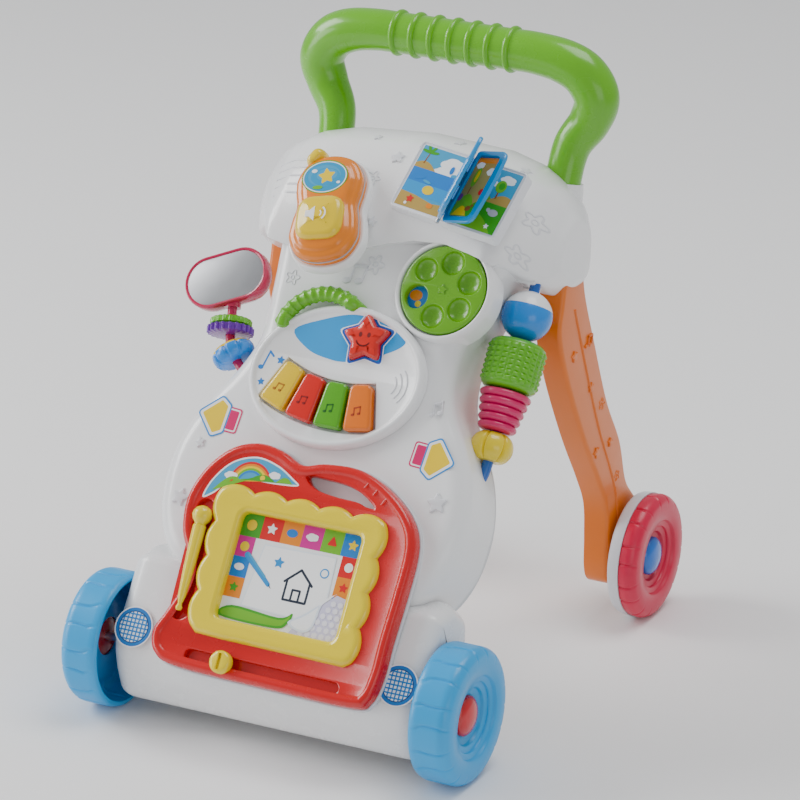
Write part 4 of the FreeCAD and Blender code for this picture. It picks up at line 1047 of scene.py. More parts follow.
for label, rest in PAGE_REST.items():
    leaf = BOOK @ Matrix.Translation((0, 0, 9)) @ Matrix.Rotation(math.radians(-rest), 4, "Y")
    frame_loop = rounded([(5.5, -30), (40, -30), (41.5, -6), (41.5, 8), (40, 30), (5.5, 30)],
                         [4, 8, 10, 10, 8, 4])
    opening = box_loop(25, 50, 4, 22, 0)
    lip = [(0.8, 1.6), (0, 0.9), (0, 0.25)]
    profile = [(0.8, -1.6), (0, -0.8), (0, 0.8), (0.8, 1.6)]
    front = relief_data(frame_loop, profile, [(opening, lip, True)])
    parts = [front]
    for low, high in KNUCKLES[label]:
        v, f = turned_data([(low, 1.6), (low, 3.0), (low + 0.5, 3.4), (high - 0.5, 3.4), (high, 3.0),
                            (high, 1.6)], 28)
        spin = Matrix.Rotation(math.radians(90), 4, "Z")
        parts.append(([tuple(spin @ Vector(p)) for p in v], f))
        v, f = relief_data(rect(1.9, low, 9, high), [(0, -1.3), (0, 1.3)])
        parts.append((v, f))
    page = assembled("page_%s_frame" % label, parts, leaf, "page_blue", "page_" + label)
    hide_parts("book_page_" + label)
    art("page_%s_print" % label, leaf, 0.27, picture(page_art, 10, -24.5, 34, 24.5), "sticker_print",
        "page_" + label,
        thick=0.03, gap=0.012)

# ---- picture dial

holes = []
for k in range(6):
    a = math.radians(23 + 60 * k)
    loop = oval(8.8, 8.8, 20.5 * math.cos(a), 20.5 * math.sin(a), 40)
    if k == 3:
        holes.append((loop, [(0.9, 6.6), (0.3, 6.3), (0, 5.6), (0, 0.4)], False))
    else:
        bowl = [(0.9, 6.6), (0.3, 6.35), (0, 5.9)]
        for step in range(1, 8):
            b = math.pi / 2 * step / 8
            bowl.append((-8.4 * (1 - math.cos(b)), 5.9 - 4.6 * math.sin(b)))
        holes.append((loop, bowl, True))
dial_edge = [(0, 0.4), (0, 5.4), (0.4, 6.2), (1.2, 6.6)]
dial_parts = [relief_data(oval(32.6, 32.6, 0, 0, 96), dial_edge, holes)]
dial_parts.append(relief_data(star_loop(0, 0, 4.6, 0.5, 0, 0.6), [(0, 6.5), (0, 7.0), (0.5, 7.5)]))
dial = assembled("dial_disc", dial_parts, DIAL, "dial_green", "dial")
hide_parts("picture_dial")
dial_art = art("dial_scene", DIAL, 0.05, [
    (SKY, oval(32, 32, 0, 0, 64)), (BLUE, oval(12, 9, -20, -9, 32)), (ORANGE, oval(5, 4, -22, -6, 24)),
    (YELLOW, oval(2.4, 2.4, -19, -12, 20)), (RED, oval(6, 6, 18, 8, 24)), (LEAF, oval(6, 6, 2, 21, 24)),
    (WHITE, oval(5, 4, 20, -10, 24)), (PINK, oval(5, 5, -18, 14, 24)),
], "picture_print", "chassis", 0.03, 0.02)
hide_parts("dial_picture")

# ---- music panel

KEY_CENTRE = (4.4, 144)
STAR_SPOT = (15.4, 75)
KEY_PITCH = 10.2


def sector_loop(inner, outer, low, high, steps=14):
    """Part of a ring hanging below its centre, between two angles from straight down."""
    pts = []
    for radius, first, last in ((outer, low, high), (inner, high, low)):
        for k in range(steps + 1):
            a = math.radians(first + (last - first) * k / steps)
            pts.append((KEY_CENTRE[0] - radius * math.sin(a), KEY_CENTRE[1] - radius * math.cos(a)))
    return ccw(pts)


music_outer = oval(69, 53, -1.4, 45, 120, 6.5)
key_low = 21 - 3.5 * KEY_PITCH - 0.6
key_high = 21 + 0.5 * KEY_PITCH + 0.6
well_walls = [(0.6, 7.4), (0.1, 7.1), (0, 6.6), (0, 2.0)]
music_rim = [(0, 0.4), (0, 5.5), (0.6, 7.4), (1.8, 8.7), (3.2, 9.2), (4.6, 8.8), (5.6, 7.8), (6.2, 7.4)]
music = relief("music_face", music_outer, music_rim, PANEL, "music_white", "music_unit",
               holes=[(sector_loop(102.5, 139.5, key_low, key_high), well_walls, True),
                      (star_loop(*STAR_SPOT, 20.8, 0.58, 8, 2.5), well_walls, True)])
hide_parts("music_panel")
swoosh_colour = (0.02, 0.45, 0.88)
SWOOSH = [(-43, 73), (-29.3, 61), (-13, 56.6), (5, 56.7), (32, 67), (45.5, 77.5), (36, 86), (22, 90),
          (0.3, 91.5), (-21.6, 84.5)]
star_hole = [(star_loop(*STAR_SPOT, 20.9, 0.58, 8, 2.5), [(0, 7.5), (0, 7.42)], False)]
swoosh_parts = []
for low, colour, loop in ((7.42, swoosh_colour, smooth_loop(SWOOSH, 5)),
                          (7.46, (0.90, 0.95, 1.0), star_loop(*STAR_SPOT, 24.6, 0.60, 8, 3)),
                          (7.50, (0.02, 0.16, 0.62), star_loop(*STAR_SPOT, 23.2, 0.60, 8, 3))):
    rim_steps = [(0, low), (0, low + 0.05)]
    walls = [(0, low + 0.05), (0, low)]
    v, f = relief_data(ccw(loop), rim_steps, [(star_hole[0][0], walls, False)])
    swoosh_parts.append((v, f, [colour] * len(f)))
assembled("music_swoosh", swoosh_parts, PANEL, "sticker_print", "music_unit", smooth=False)
art("music_print", PANEL, 7.42, [
    (BLUE, slot_loop(-60, 42, -57, 54, 0.7, 6)), (BLUE, oval(2.2, 1.7, -61.4, 41.6, 18)),
    (BLUE, slot_loop(-57, 54, -53.5, 51, 0.8, 6)),
    (BLUE, star_loop(-47, 49, 3.6, 0.5, 0, 0.4)), (BLUE, star_loop(-58, 31, 3.2, 0.5, 12, 0.4)),
], "sticker_print", "music_unit")
motion = []
for k in range(3):
    r = 9 + 4.2 * k
    motion.append(ridge(arc_points(38, 46, r, r, -0.75, 0.75, 12), 0.6))
v, f, _ = merge([([(x, y, z + 7.4) for x, y, z in part[0]], part[1]) for part in motion])
# The raised motion lines take the darker emboss grey: painted shade for the thin shadows along them.
build("music_lines_painted_shade", v, f, PANEL, "music_white", "music_unit", material=EMBOSS_PAINTED_SHADE)

for index, colour in enumerate(("yellow", "red", "green", "orange")):
    centre = 21 - index * KEY_PITCH
    half = KEY_PITCH / 2 - 0.5
    loop = rounded(sector_loop(104, 138, centre - half, centre + half, 1), [5, 5, 3.5, 3.5], 5)
    key = relief("key_%s_cap" % colour, loop, edge(4.2, 11.6, 2.6, 5), PANEL, "key_" + colour, "key_" + colour)
    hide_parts("piano_key_" + colour)
    a = math.radians(centre)
    x = KEY_CENTRE[0] - 124 * math.sin(a)
    y = KEY_CENTRE[1] - 124 * math.cos(a)
    mark = [slot_loop(-3, -2.5, -3, 3, 0.6, 5), slot_loop(-3, 3, 2.4, 4.2, 0.7, 5),
            slot_loop(2.4, -1.5, 2.4, 4.2, 0.6, 5),
            oval(1.7, 1.2, -4, -2.8, 14), oval(1.7, 1.2, 1.4, -1.8, 14)]
    dark = {"yellow": (0.55, 0.25, 0.0), "red": (0.35, 0.0, 0.0), "green": (0.02, 0.2, 0.0),
            "orange": (0.5, 0.08, 0.0)}
    art("key_%s_mark" % colour, PANEL, 11.62, [(dark[colour], moved(m, x, y, -centre, 0.85)) for m in mark],
        "sticker_print", "key_" + colour, 0.04, 0.0)

star = relief("star_cushion", star_loop(*STAR_SPOT, 20.2, 0.58, 8, 3), edge(5.5, 13.2, 4.2, 5) + [(6.5, 13.5)],
              PANEL, "star_red",
              "star_button")
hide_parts("star_button")
DARK = (0.25, 0.0, 0.0)
smile = arc_points(15.4, 73.5, 5.4, 4.6, 3.5, 5.9, 14)
art("star_face", PANEL, 13.52, [(DARK, oval(1.4, 1.9, 12.2, 77, 16)), (DARK, oval(1.4, 1.9, 18.8, 77.5, 16))]
    + [(DARK, slot_loop(*smile[k], *smile[k + 1], 0.55, 3)) for k in range(13)], "sticker_print",
    "star_button", 0.04, 0.0)

# The arch shows only outside the oval, where its two ends dip under the rim.
turn_back = math.radians(-6.5)
arch = []
for k in range(91):
    a = math.radians(200 - 190 * k / 90)
    x, s = -20 + 34.5 * math.cos(a), 70 + 33 * math.sin(a)
    from_x, from_s = x + 1.4, s - 45
    along_x = from_x * math.cos(turn_back) - from_s * math.sin(turn_back)
    along_s = from_x * math.sin(turn_back) + from_s * math.cos(turn_back)
    share = math.hypot(along_x / 69, along_s / 53)
    if share > 0.93:
        arch.append(Vector((x, s, 8.5 if share > 1.01 else 8.5 - 170 * (1.01 - share))))
handle = sweep("music_grip", arch, 5.3, PANEL, "lime_handle", "music_unit", 20,
               wave=lambda u, a: 0.9 * max(0.0, math.sin(TAU * 15 * u)) if 0.14 < u < 0.86 else 0.0)
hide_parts("music_handle")

# ---- drawing board

BOARD_POINTS = [(-60, -11), (12, -12.5), (79, -12.5), (92.5, -6), (97, 12), (97, 38), (98, 70), (98, 98),
                (94.5, 115),
                (86, 128), (73, 139), (56, 148.5), (36, 154), (12, 153), (-6, 149), (-24, 156), (-44, 158.5),
                (-64, 151), (-80, 133),
                (-88, 110), (-85, 86), (-74, 65), (-73, 46), (-80, 26), (-86, 10), (-80, -5)]
board_loop = smooth_loop(BOARD_POINTS, 8)
LOOP_HOLE = smooth_loop([(1, 142.5), (14, 142.5), (30, 141.3), (44, 137.6), (55, 131.5), (58, 128),
                         (51, 128.3), (43.5, 130.3),
                         (27, 131), (12, 133), (3, 137.5)], 6)
wall_hole = [(1.6, 12.4), (0.5, 12.0), (0, 11.0), (0, 3.3)]
tray = [(1.0, 12.4), (0.3, 12.1), (0, 11.4), (0, 7.8)]
board_rim = [(0, 3.3), (0, 9.5), (0.7, 12.2), (2.2, 13.9), (4.2, 14.4), (6.0, 13.9), (7.2, 12.8), (7.8, 12.4)]
board = relief("board_slab", board_loop, board_rim, BOARD, "board_red", "drawing_board",
               holes=[(LOOP_HOLE, wall_hole, False),
                      (slot_loop(-69, 29, -71, 104, 7.2), tray, True),
                      (slot_loop(-51, -1.5, 64, -2.5, 4.6), tray, True),
                      (box_loop(128, 100, 14, 8, 68), [(0, 12.4), (0, 8.6)], True)])
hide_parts("board_frame")
back = relief("board_rest", inset(board_loop, -1.2), [(0, 0.05), (0, 2.3), (0.5, 2.85)], BOARD, "cradle_grey",
              "chassis",
              holes=[(LOOP_HOLE, [(0, 2.85), (0, 0.05)], False)], under=False)
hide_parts("board_cradle")
ribs = []
for x, s in ((49, 143.5), (57, 139.5), (65, 134)):
    ribs.append(ridge([(x - 1.5, s - 2.6), (x, s), (x + 1.3, s + 2.4)], 0.45))
v, f, _ = merge(ribs)
v = [(x, y, z + 13.6) for x, y, z in v]
build("board_loop_ribs", v, f, BOARD, "board_red", "drawing_board")

# The bezel's scalloped outline: waves along its top and sides, and a plain bottom edge.


def waves(x0, y0, x1, y1, count, swell):
    out = []
    length = math.hypot(x1 - x0, y1 - y0)
    nx, ny = (y1 - y0) / length, -(x1 - x0) / length
    for k in range(count * 10):
        t = k / (count * 10)
        bump = swell * abs(math.sin(math.pi * count * t)) ** 0.8
        out.append((x0 + (x1 - x0) * t + nx * bump, y0 + (y1 - y0) * t + ny * bump))
    return out


scallop = waves(73, 17, 71, 119, 4, 4.2)
scallop += waves(71, 119, -62, 122, 5, 4.4)
scallop += waves(-62, 122, -58, 20, 4, 4.2)
scallop += [(-58, 20), (-52, 15), (-30, 14.2), (8, 14), (50, 13.6), (68, 13.4)]
window = box_loop(97, 78.5, 6, 8, 68.2)
bezel = relief("bezel_scallop", scallop, [(0, 8.6), (0, 12.2), (0.9, 14.4), (2.6, 15.9), (4.8, 16.5),
                                          (7.0, 16.3)], BOARD,
               "bezel_yellow", "drawing_board",
               holes=[(window, [(3.6, 16.2), (1.8, 15.7), (0.6, 14.6), (0, 13.2), (0, 8.7)], False)])
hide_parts("board_bezel")

# The screen's rectangle on the board, and the height of its row of tiles.
X0, Y0, X1, Y1 = -41, 28.5, 57, 108
TILE_HIGH = 17
MAGENTA = (0.78, 0.05, 0.42)
tiles = [(GREEN, 0), (RED, 1), (ORANGE, 2), (MAGENTA, 3), (LEAF, 4), (BLUE, 5)]
shapes = [(WHITE, rect(X0, Y0, X1, Y1))]
for colour, k in tiles:
    x = X0 + k * (X1 - X0) / 6
    shapes.append((colour, rect(x, Y1 - TILE_HIGH, x + (X1 - X0) / 6, Y1)))
for k, colour in enumerate((MAGENTA, BLUE, ORANGE)):
    top = Y1 - TILE_HIGH - 15 * k
    shapes.append((colour, rect(X0, top - 15, X0 + 14, top)))
for k, colour in enumerate((RED, ORANGE, BLUE)):
    top = Y1 - TILE_HIGH - 15 * k
    shapes.append((colour, rect(X1 - 14, top - 15, X1, top)))
icon_row = [(YELLOW, oval(4, 4, 0, 0, 20)), (WHITE, star_loop(0, 0, 4.6, 0.5, 0, 0.4)),
            (BLUE, oval(4.4, 3, 0, 0, 20)),
            (WHITE, puff(0, 0, 3.2)), (RED, rounded([(-4, -3), (4, -3), (0, 4.4)], 1)),
            (YELLOW, star_loop(0, 0, 4.4, 0.5, 0, 0.4))]
for k, (colour, loop) in enumerate(icon_row):
    shapes.append((colour, moved(loop, X0 + (k + 0.5) * (X1 - X0) / 6, Y1 - TILE_HIGH / 2)))
for k, (colour, loop) in enumerate(((YELLOW, oval(3.6, 3.6, 0, 0, 20)), (WHITE, oval(4.0, 2.6, 0, 0, 20)),
                                    (GREEN, star_loop(0, 0, 4, 0.5, 0, 0.4)))):
    shapes.append((colour, moved(loop, X0 + 7, Y1 - 24.5 - 15 * k)))
for k, (colour, loop) in enumerate(((WHITE, oval(3.4, 3.4, 0, 0, 20)), (RED, star_loop(0, 0, 4, 0.5, 0, 0.4)),
                                    (YELLOW, oval(4.0, 2.8, 0, 0, 20)))):
    shapes.append((colour, moved(loop, X1 - 7, Y1 - 24.5 - 15 * k)))
page = [(X0 + 16, Y0 + 13), (X0 + 22, Y1 - 20), (X1 - 18, Y1 - 19), (X1 - 16, Y0 + 18), (X1 - 30, Y0 + 11)]
shapes += [((0.80, 0.86, 0.92), page), (PAPER, inset(ccw(page), 1.0))]
INK = (0.10, 0.12, 0.16)
DRAW_BLUE = (0.04, 0.40, 0.80)
# A house: two walls, the floor and two roof lines, then the door's two sides and its top.
wall_lines = [(6, 52, 6, 66), (24, 52, 24, 66), (6, 52, 24, 52), (4, 65, 15, 75), (26, 65, 15, 75)]
door_lines = [(12, 52, 12, 60), (18, 52, 18, 60), (12, 60, 18, 60)]
shapes += [(INK, slot_loop(*line, 0.9, 4)) for line in wall_lines]
shapes += [(INK, slot_loop(*line, 0.8, 4)) for line in door_lines]
shapes += [(DRAW_BLUE, star_loop(-4, 77, 4.6, 0.5, 0, 0.4)), (DRAW_BLUE, oval(3.6, 3.6, 33, 76, 24)),
           (PAPER, oval(2.6, 2.6, 33, 76, 24))]
shapes += [(DRAW_BLUE, slot_loop(-30, 78, -8, 60, 2.2, 6, 1.6)), (SKY, slot_loop(-29, 79, -12, 65, 0.8, 5)),
           (INK, rounded([(-8.8, 61.6), (-6.6, 58.4), (-4.6, 57.2)], 0.3))]
ribbon = [(X0 + 2, Y0 + 3), (X0 + 10, Y0 + 12), (X0 + 48, Y0 + 10), (X0 + 58, Y0 + 15), (X0 + 56, Y0 + 7),
          (X0 + 46, Y0 + 2)]
shapes += [(GREEN, smooth_loop(ribbon, 5)), (LEAF, smooth_loop(inset(ccw(ribbon), 1.6), 5))]
shapes += [(LILAC, [(X1 - 40, Y0), (X1, Y0), (X1, Y0 + 32), (X1 - 10, Y0 + 34), (X1 - 30, Y0 + 16)])]
for row in range(6):
    for col in range(7):
        hx = X1 - 36 + col * 5.6 + (row % 2) * 2.8
        hy = Y0 + 3 + row * 4.9
        if hx - (X1 - 38) > (hy - Y0) * 0.9 and hx < X1 - 2:
            shapes.append(((0.80, 0.79, 0.90),
                           [(hx + 2.3 * math.cos(TAU * (k + .5) / 6), hy + 2.3 * math.sin(TAU * (k + .5) / 6))
                                                for k in range(6)]))
curl = [(X1 - 42, Y0 + 8), (X1 - 30, Y0 + 17), (X1 - 10, Y0 + 35), (X1 - 19, Y0 + 26), (X1 - 22, Y0 + 8),
        (X1 - 30, Y0 + 3)]
shapes += [((0.72, 0.80, 0.90), smooth_loop(curl, 4)),
           ((0.92, 0.94, 0.97), smooth_loop(inset(ccw(curl), 1.5), 4))]
layers = []
for number, (colour, loop) in enumerate(picture(shapes, X0, Y0, X1, Y1)):
    low = 8.62 + 0.012 * number
    pv, pf = relief_data(ccw(loop), [(0, low), (0, low + 0.03)])
    layers.append((pv, pf, [colour] * len(pf)))
screen = assembled("screen_picture", layers, BOARD, "screen_print", "drawing_board", smooth=False)
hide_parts("drawing_screen")

dome_loop = smooth_loop([(-76, 112), (-72, 126), (-60, 141), (-42, 148), (-24, 145), (-10, 138), (-4, 133),
                         (-22, 131),
                         (-44, 130), (-60, 124), (-68, 116)], 6)
dome_shapes = [(WHITE, dome_loop), (SKY, inset(dome_loop, 1.2))]
for k, colour in enumerate((RED, ORANGE, YELLOW, LEAF, BLUE)):
    r = 17 - 1.6 * k
    dome_shapes.append((colour, arc_points(-42, 127, r, r, 0, math.pi, 24)))
dome_shapes += [(SKY, arc_points(-42, 127, 9, 9, 0, math.pi, 20)),
                (WHITE, puff(-58, 131, 3.4)), (WHITE, puff(-24, 137, 3)),
                (LEAF, hill(-70, -40, 118, 131)), (GREEN, hill(-50, -14, 124, 136)),
                (LEAF, hill(-26, -4, 126, 137)),
                (YELLOW, oval(2, 2, -33, 133.5, 14)), (RED, oval(1.5, 1.5, -56, 127, 12))]


def inside_dome(loop):
    """A loop kept to the sticker's outline, by pulling stray points onto it."""
    border = inset(dome_loop, 1.2)
    xs = np.array(border)
    out = []
    for x, y in loop:
        crossings = 0
        for (ax, ay), (bx, by) in zip(border, border[1:] + border[:1]):
            if (ay > y) != (by > y) and x < (bx - ax) * (y - ay) / (by - ay) + ax:
                crossings += 1
        if crossings % 2:
            out.append((x, y))
        else:
            nearest = xs[np.argmin(((xs - (x, y)) ** 2).sum(1))]
            out.append(tuple(nearest))
    cleaned = []
    for p in out:
        if not cleaned or math.dist(p, cleaned[-1]) > 0.05:
            cleaned.append(p)
    return cleaned


kept = dome_shapes[:2] + [(c, inside_dome(loop)) for c, loop in dome_shapes[2:]]
art("board_dome_sticker", BOARD, 12.42, [(c, loop) for c, loop in kept if len(loop) > 2], "sticker_print",
    "drawing_board",
    0.03, 0.02)

pen_profile = [(-39, 0), (-38.6, 1.6), (-37.4, 2.4), (-36, 2.5), (-34.6, 1.8), (-33.5, 1.6), (-28, 3.0),
               (-10, 4.0), (14, 4.8),
               (24, 5.0), (25, 4.2), (26, 4.4), (28, 6.2), (31, 7.4), (34, 7.2), (37, 5.4), (38.6, 2.6),
               (39, 0)]
pen_place = BOARD @ Matrix.Translation((-70, 66.5, 14.2)) @ Matrix.Rotation(math.radians(91.5), 4, "Z")
pen = turned_piece("pen_barrel", pen_profile, pen_place, "bezel_yellow", "pen", 36, closed=False)
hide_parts("drawing_pen")
knob_slit = [(rect(-1.2, -6, 1.2, 6), [(0.3, 20.2), (0, 19.8), (0, 17.6)], True)]
knob_parts = [relief_data(oval(8.3, 8.3, 0, 0, 48), [(0, 13.4), (0, 17.8), (0.8, 19.4), (2.4, 20.2)],
                          knob_slit),
              relief_data(oval(3.8, 3.8, 0, 0, 24), [(0, 8.4), (0, 13.5)])]
knob = assembled("eraser_button", knob_parts, BOARD @ turned(-24, -2, 0), "bezel_yellow", "eraser")
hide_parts("eraser_knob")

# ---- stickers on the shell and base


def lamp(x, s):
    out = [(WHITE, oval(15.2, 15.2, x, s, 48)), ((0.01, 0.26, 0.66), oval(14.3, 14.3, x, s, 48)),
           ((0.005, 0.08, 0.26), oval(11.9, 11.9, x, s, 48)), ((0.80, 0.88, 0.95), oval(11.2, 11.2, x, s, 48))]
    for k in range(-3, 4):
        half = math.sqrt(10.8 ** 2 - (3.1 * k) ** 2)
        out.append((LAMP_BLUE, slot_loop(x + 3.1 * k, s - half, x + 3.1 * k, s + half, 0.55, 4)))
        out.append((LAMP_BLUE, slot_loop(x - half, s + 3.1 * k, x + half, s + 3.1 * k, 0.55, 4)))
    return out


lamps = art("lamp_stickers", PANEL, 0.9, lamp(107, -161.5) + lamp(-107, -161.5), "sticker_print", "chassis",
            0.05, 0.02)
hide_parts("headlight_stickers")


def arrow(x, s, turn):
    """A red square tail with a white line in it, and a yellow pointed head in a white and blue outline."""
    head = ccw([(-17, 0), (-3, 14), (3.5, 10), (3.5, -10), (-3, -14)])
    out = [(STICKER_RED, box_loop(20, 21, 3, 7.5, 0)), (WHITE, box_loop(17.6, 18.6, 2.2, 7.5, 0)),
           (STICKER_RED, box_loop(15, 16, 1.4, 7.5, 0)),
           ((0.01, 0.36, 0.80), rounded(inset(head, -3.4), 4)), (WHITE, rounded(inset(head, -2.1), 3)),
           (YELLOW, rounded(head, 1.6))]
    return [(c, moved(loop, x, s, turn, 0.9)) for c, loop in out]


arrows = art("arrow_print", PANEL, 0.04, arrow(85.5, 1, 176) + arrow(-85.5, 1, -4), "sticker_print", "chassis",
             0.05, 0.03)
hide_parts("arrow_stickers")

# ---- bead rod at the right

rod_points = [(104, -12, -40), (107, -4, -40), (110, 8, -40), (110, 40, -40), (110, 80, -40), (110, 120, -40),
              (110, 146, -40),
              (107, 158, -38)]
rod = sweep("bead_bar", curve_points(rod_points, 10), 4.0, PANEL, "rod_blue", "chassis", 20)
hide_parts("bead_rod")


def bead_frame(s):
    return ROD @ Matrix.Translation((s, 0, 0))


BEAD_BORE = 4.2
RING_BORE = 3.7
BALL = 18.5
ball = []
for k in range(33):
    a = math.pi * (k + 2.2) / 36.4
    ball.append((-BALL * math.cos(a), BALL * math.sin(a)))
ball = [(ball[0][0], BEAD_BORE)] + ball + [(ball[-1][0], BEAD_BORE)]
v, f = turned_data(ball, 64)
shade = []
for face in f:
    shade.append(WHITE if sum(v[i][0] for i in face) / len(face) > 6.4 else BEAD_BLUE)
piece = build("ball_shell", v, f, bead_frame(122.5), "bead_blue", "ball_bead", colours=shade, material=PAINTED)
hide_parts("ball_bead")

rows = [(-18.5, BEAD_BORE), (-18.5, 15), (-17.8, 17.4),
        (-16, 19.4)] + [(float(x), 20.2) for x in np.linspace(-15, 15, 61)]
rows += [(16, 19.4), (17.8, 17.4), (18.5, 15), (18.5, BEAD_BORE)]


def bumps(angle, i):
    x, r = rows[i]
    if abs(x) >= 14 or r < 20:
        return 0.0
    u = (angle / TAU * 22) % 1.0 - 0.5
    w = ((x + 14) / 28 * 7) % 1.0 - 0.5
    around = max(0.0, 1 - (2.3 * u) ** 2) ** 0.6
    return 1.4 * around * max(0.0, 1 - (2.3 * w) ** 2) ** 0.6


v, f = turned_data(rows, 352, bumps)
shade = [BEAD_GREEN if v[face[0]][2] > -8 else (0.92, 0.33, 0.02) for face in f]
piece = build("drum_shell", v, f, bead_frame(84.5), "bead_green", "drum_bead", colours=shade, material=PAINTED,
              sharp=60)
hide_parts("drum_bead")

cone_rows = [(-15, BEAD_BORE), (-15, 10)]
for k in range(61):
    t = k / 60
    x = -14.5 + 29 * t
    wave = abs(math.sin(math.pi * 5 * t)) ** 0.6
    cone_rows.append((x, 11.2 + 5.6 * t + 2.6 * wave))
cone_rows += [(15, 13), (15, BEAD_BORE)]
piece = turned_piece("cone_shell", cone_rows, bead_frame(50.3), "bead_pink", "ribbed_bead", 64, sharp=60)
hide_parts("ribbed_bead")

seg_rows = [(-10.5, BEAD_BORE), (-10.3, 8)]
for k in range(25):
    a = math.pi * (k + 3) / 30
    seg_rows.append((-10.8 * math.cos(a), 6.5 + 9.3 * math.sin(a)))
seg_rows += [(10.3, 8), (10.5, BEAD_BORE)]


def lobes(angle, i):
    x, r = seg_rows[i]
    return -2.2 * max(0.0, 1 - abs(((angle / TAU * 6) % 1.0) - 0.5) * 9) if r > 8 else 0.0


piece = turned_piece("segment_shell", seg_rows, bead_frame(24), "bead_yellow", "segment_bead", 180, lobes,
                     sharp=60)
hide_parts("segment_bead")
tab = box_loop(17, 12, 3, 104, 150)
relief("rod_ear", tab, [(0, -47), (0.8, -46), (0.8, -32), (0, -31)], PANEL, "white_shell", "chassis")

# ---- mirror and rings at the left

ring_corner = Vector((-88, 40, -16))
ring_knee = Vector((-103.8, 58, -16))
ring_top = Vector((-111, 93.3, -16))
ring_path = curve_points([(-74, 40, -16), (-82, 40, -16), (-88.5, 42, -16), (-97, 50.2, -16),
                          (-102.6, 58, -16), (-105.2, 66, -16),
                          tuple(ring_top)], 10)
rod = sweep("ring_bar", ring_path, 3.5, PANEL, "rod_crimson", "chassis", 18)
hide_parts("ring_rod")


def on_run(start, end, distance):
    run = end - start
    spot = start + run.normalized() * distance
    return along(spot.x, spot.y, spot.z, math.degrees(math.atan2(run.y, run.x)))


lower = [(-7.0, RING_BORE), (-7.0, 11), (-5.8, 14), (-3, 15.8), (0, 16.2), (2.6, 15.6), (4.6, 14), (5.5, 12),
         (5.5, RING_BORE)]


def lower_grooves(angle, i):
    """Nine grooves round the lower ring."""
    return -1.6 * max(0.0, math.sin(angle * 9)) ** 4 if lower[i][1] > 13 else 0.0


v, f = turned_data(lower, 240, lower_grooves)
shade = [BEAD_BLUE if v[face[0]][0] < 2.5 else YELLOW for face in f]
piece = build("lower_ring_shell", v, f, on_run(ring_corner, ring_knee, 15.5), "bead_blue", "lower_ring",
              colours=shade,
              material=PAINTED, sharp=50)
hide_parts("lower_ring_bead")
upper = [(-6.4, RING_BORE), (-6.4, 13), (-5.4, 15.6), (-0.4, 15.6), (0.1, 13), (0.7, 13), (1.2, 14.8),
         (5.0, 14.8), (5.9, 13.4),
         (5.9, RING_BORE)]


def upper_teeth(angle, i):
    """Twenty teeth round the upper ring, deeper on its purple half."""
    x, r = upper[i]
    if r <= 13:
        return 0.0
    return (1.8 if -6 < x < 0 else 0.7) * max(0.0, math.sin(angle * 20)) ** 0.5


v, f = turned_data(upper, 240, upper_teeth)
shade = [(0.34, 0.15, 0.60) if v[face[0]][0] < -0.2 else BEAD_GREEN for face in f]
piece = build("upper_ring_shell", v, f, on_run(ring_knee, ring_top, 13), "ring_purple", "upper_ring",
              colours=shade,
              material=PAINTED, sharp=50)
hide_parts("upper_ring_bead")

mirror_spot = Vector((-118, 105, -16))
MIRROR = along(mirror_spot.x, mirror_spot.y, -16, 25)
mirror_loop = slot_loop(-13, 0, 13, 0, 20, 20)
back_profile = [(9, -11), (4, -9.6), (1.2, -6.6), (0, -2), (0, 6.4), (0.5, 7.5), (1.3, 8.1), (2.3, 7.7),
                (2.7, 7)]
housing = relief("mirror_shell", mirror_loop, back_profile, MIRROR, "mirror_crimson", "mirror")
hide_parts("mirror_housing")
glass = relief("mirror_pane", inset(mirror_loop, 2.6), [(0, 6.9), (0, 7.15), (0.4, 7.3)], MIRROR,
               "mirror_film", "mirror")
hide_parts("mirror_glass")
neck = curve_points([tuple(ring_top - Vector((-0.4, 2.0, 0)) * 4.2), tuple(ring_top),
                     tuple(mirror_spot - Vector((-3, 18, 0)))], 8)
sweep("mirror_neck", neck, lambda u: 6.2 - 0.8 * u, PANEL, "mirror_crimson", "mirror", 24)

# ---- carried-over CAD nodes

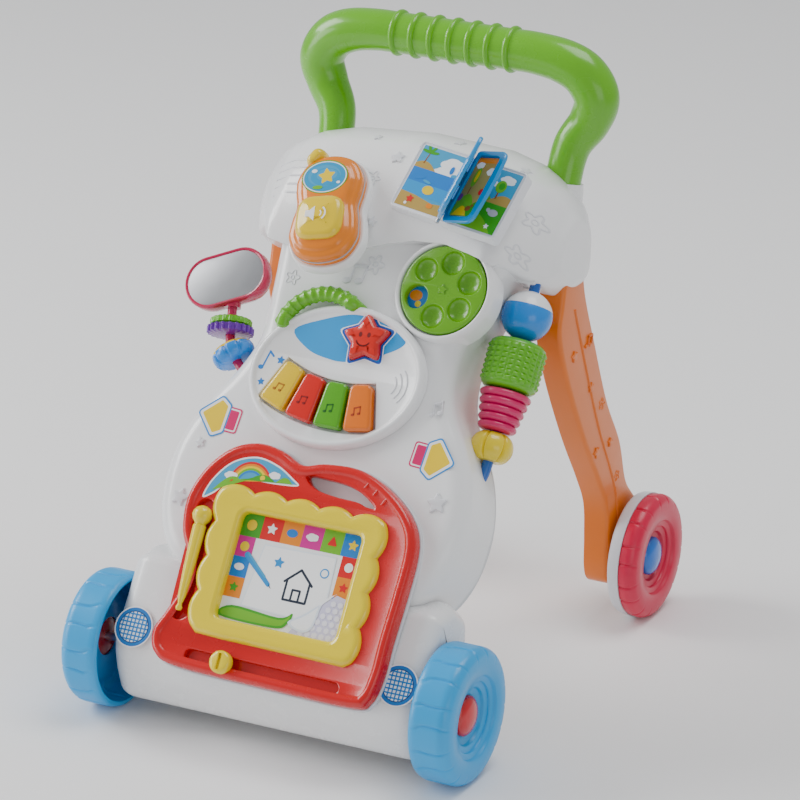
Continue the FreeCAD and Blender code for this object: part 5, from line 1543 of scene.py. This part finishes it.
for item in frame["record"]["subparts"]:
    node = frame["nodes"].get(item["node"])
    if node is not None:
        node.data.materials.clear()
        node.data.materials.append(MATERIALS[item["material_slot"]])

# ---- floor, light and camera

floor_mesh = bpy.data.meshes.new("floor")
floor_mesh.from_pydata([(-6, -6, 0), (6, -6, 0), (6, 6, 0), (-6, 6, 0)], [], [[0, 1, 2, 3]])
floor = bpy.data.objects.new("floor", floor_mesh)
bpy.context.scene.collection.objects.link(floor)
floor_mesh.materials.append(finish("floor_white", (0.93, 0.93, 0.93), 0.6, 0.0, 0.0, 60.0, 0.01, 0.01))

world = bpy.data.worlds.new("studio")
bpy.context.scene.world = world
world.use_nodes = True
world.node_tree.nodes["Background"].inputs["Color"].default_value = (0.97, 0.98, 1.0, 1)
world.node_tree.nodes["Background"].inputs["Strength"].default_value = 0.50


def soft_box(name, place, target, size, power):
    light = bpy.data.lights.new(name, "AREA")
    light.shape = "RECTANGLE"
    light.size = size[0]
    light.size_y = size[1]
    light.energy = power
    obj = bpy.data.objects.new(name, light)
    obj.location = place
    obj.rotation_euler = (Vector(target) - Vector(place)).to_track_quat("-Z", "Y").to_euler()
    bpy.context.scene.collection.objects.link(obj)


soft_box("key", (-2.2, -0.5, 1.6), (0, 0, 0.2), (1.2, 1.2), 46)
soft_box("top", (0.5, 0.5, 2.3), (0, 0, 0.2), (1.3, 1.3), 26)
soft_box("fill", (1.8, -1.4, 0.7), (0, 0, 0.2), (1.2, 1.0), 5)
soft_box("side", (-2.4, -1.5, 0.7), (0, 0, 0.2), (1.2, 1.2), 22)

camera_data = bpy.data.cameras.new("camera")
camera = bpy.data.objects.new("camera", camera_data)
camera.location = (1.378, -2.6336, 1.3467)
aim = Vector((0, -0.042, 0.22)) - camera.location
camera.rotation_euler = aim.to_track_quat("-Z", "Y").to_euler()
camera_data.sensor_width = 36
camera_data.lens = 195.57
camera_data.shift_x = 0.0499
camera_data.shift_y = -0.0009
bpy.context.scene.collection.objects.link(camera)
bpy.context.scene.camera = camera
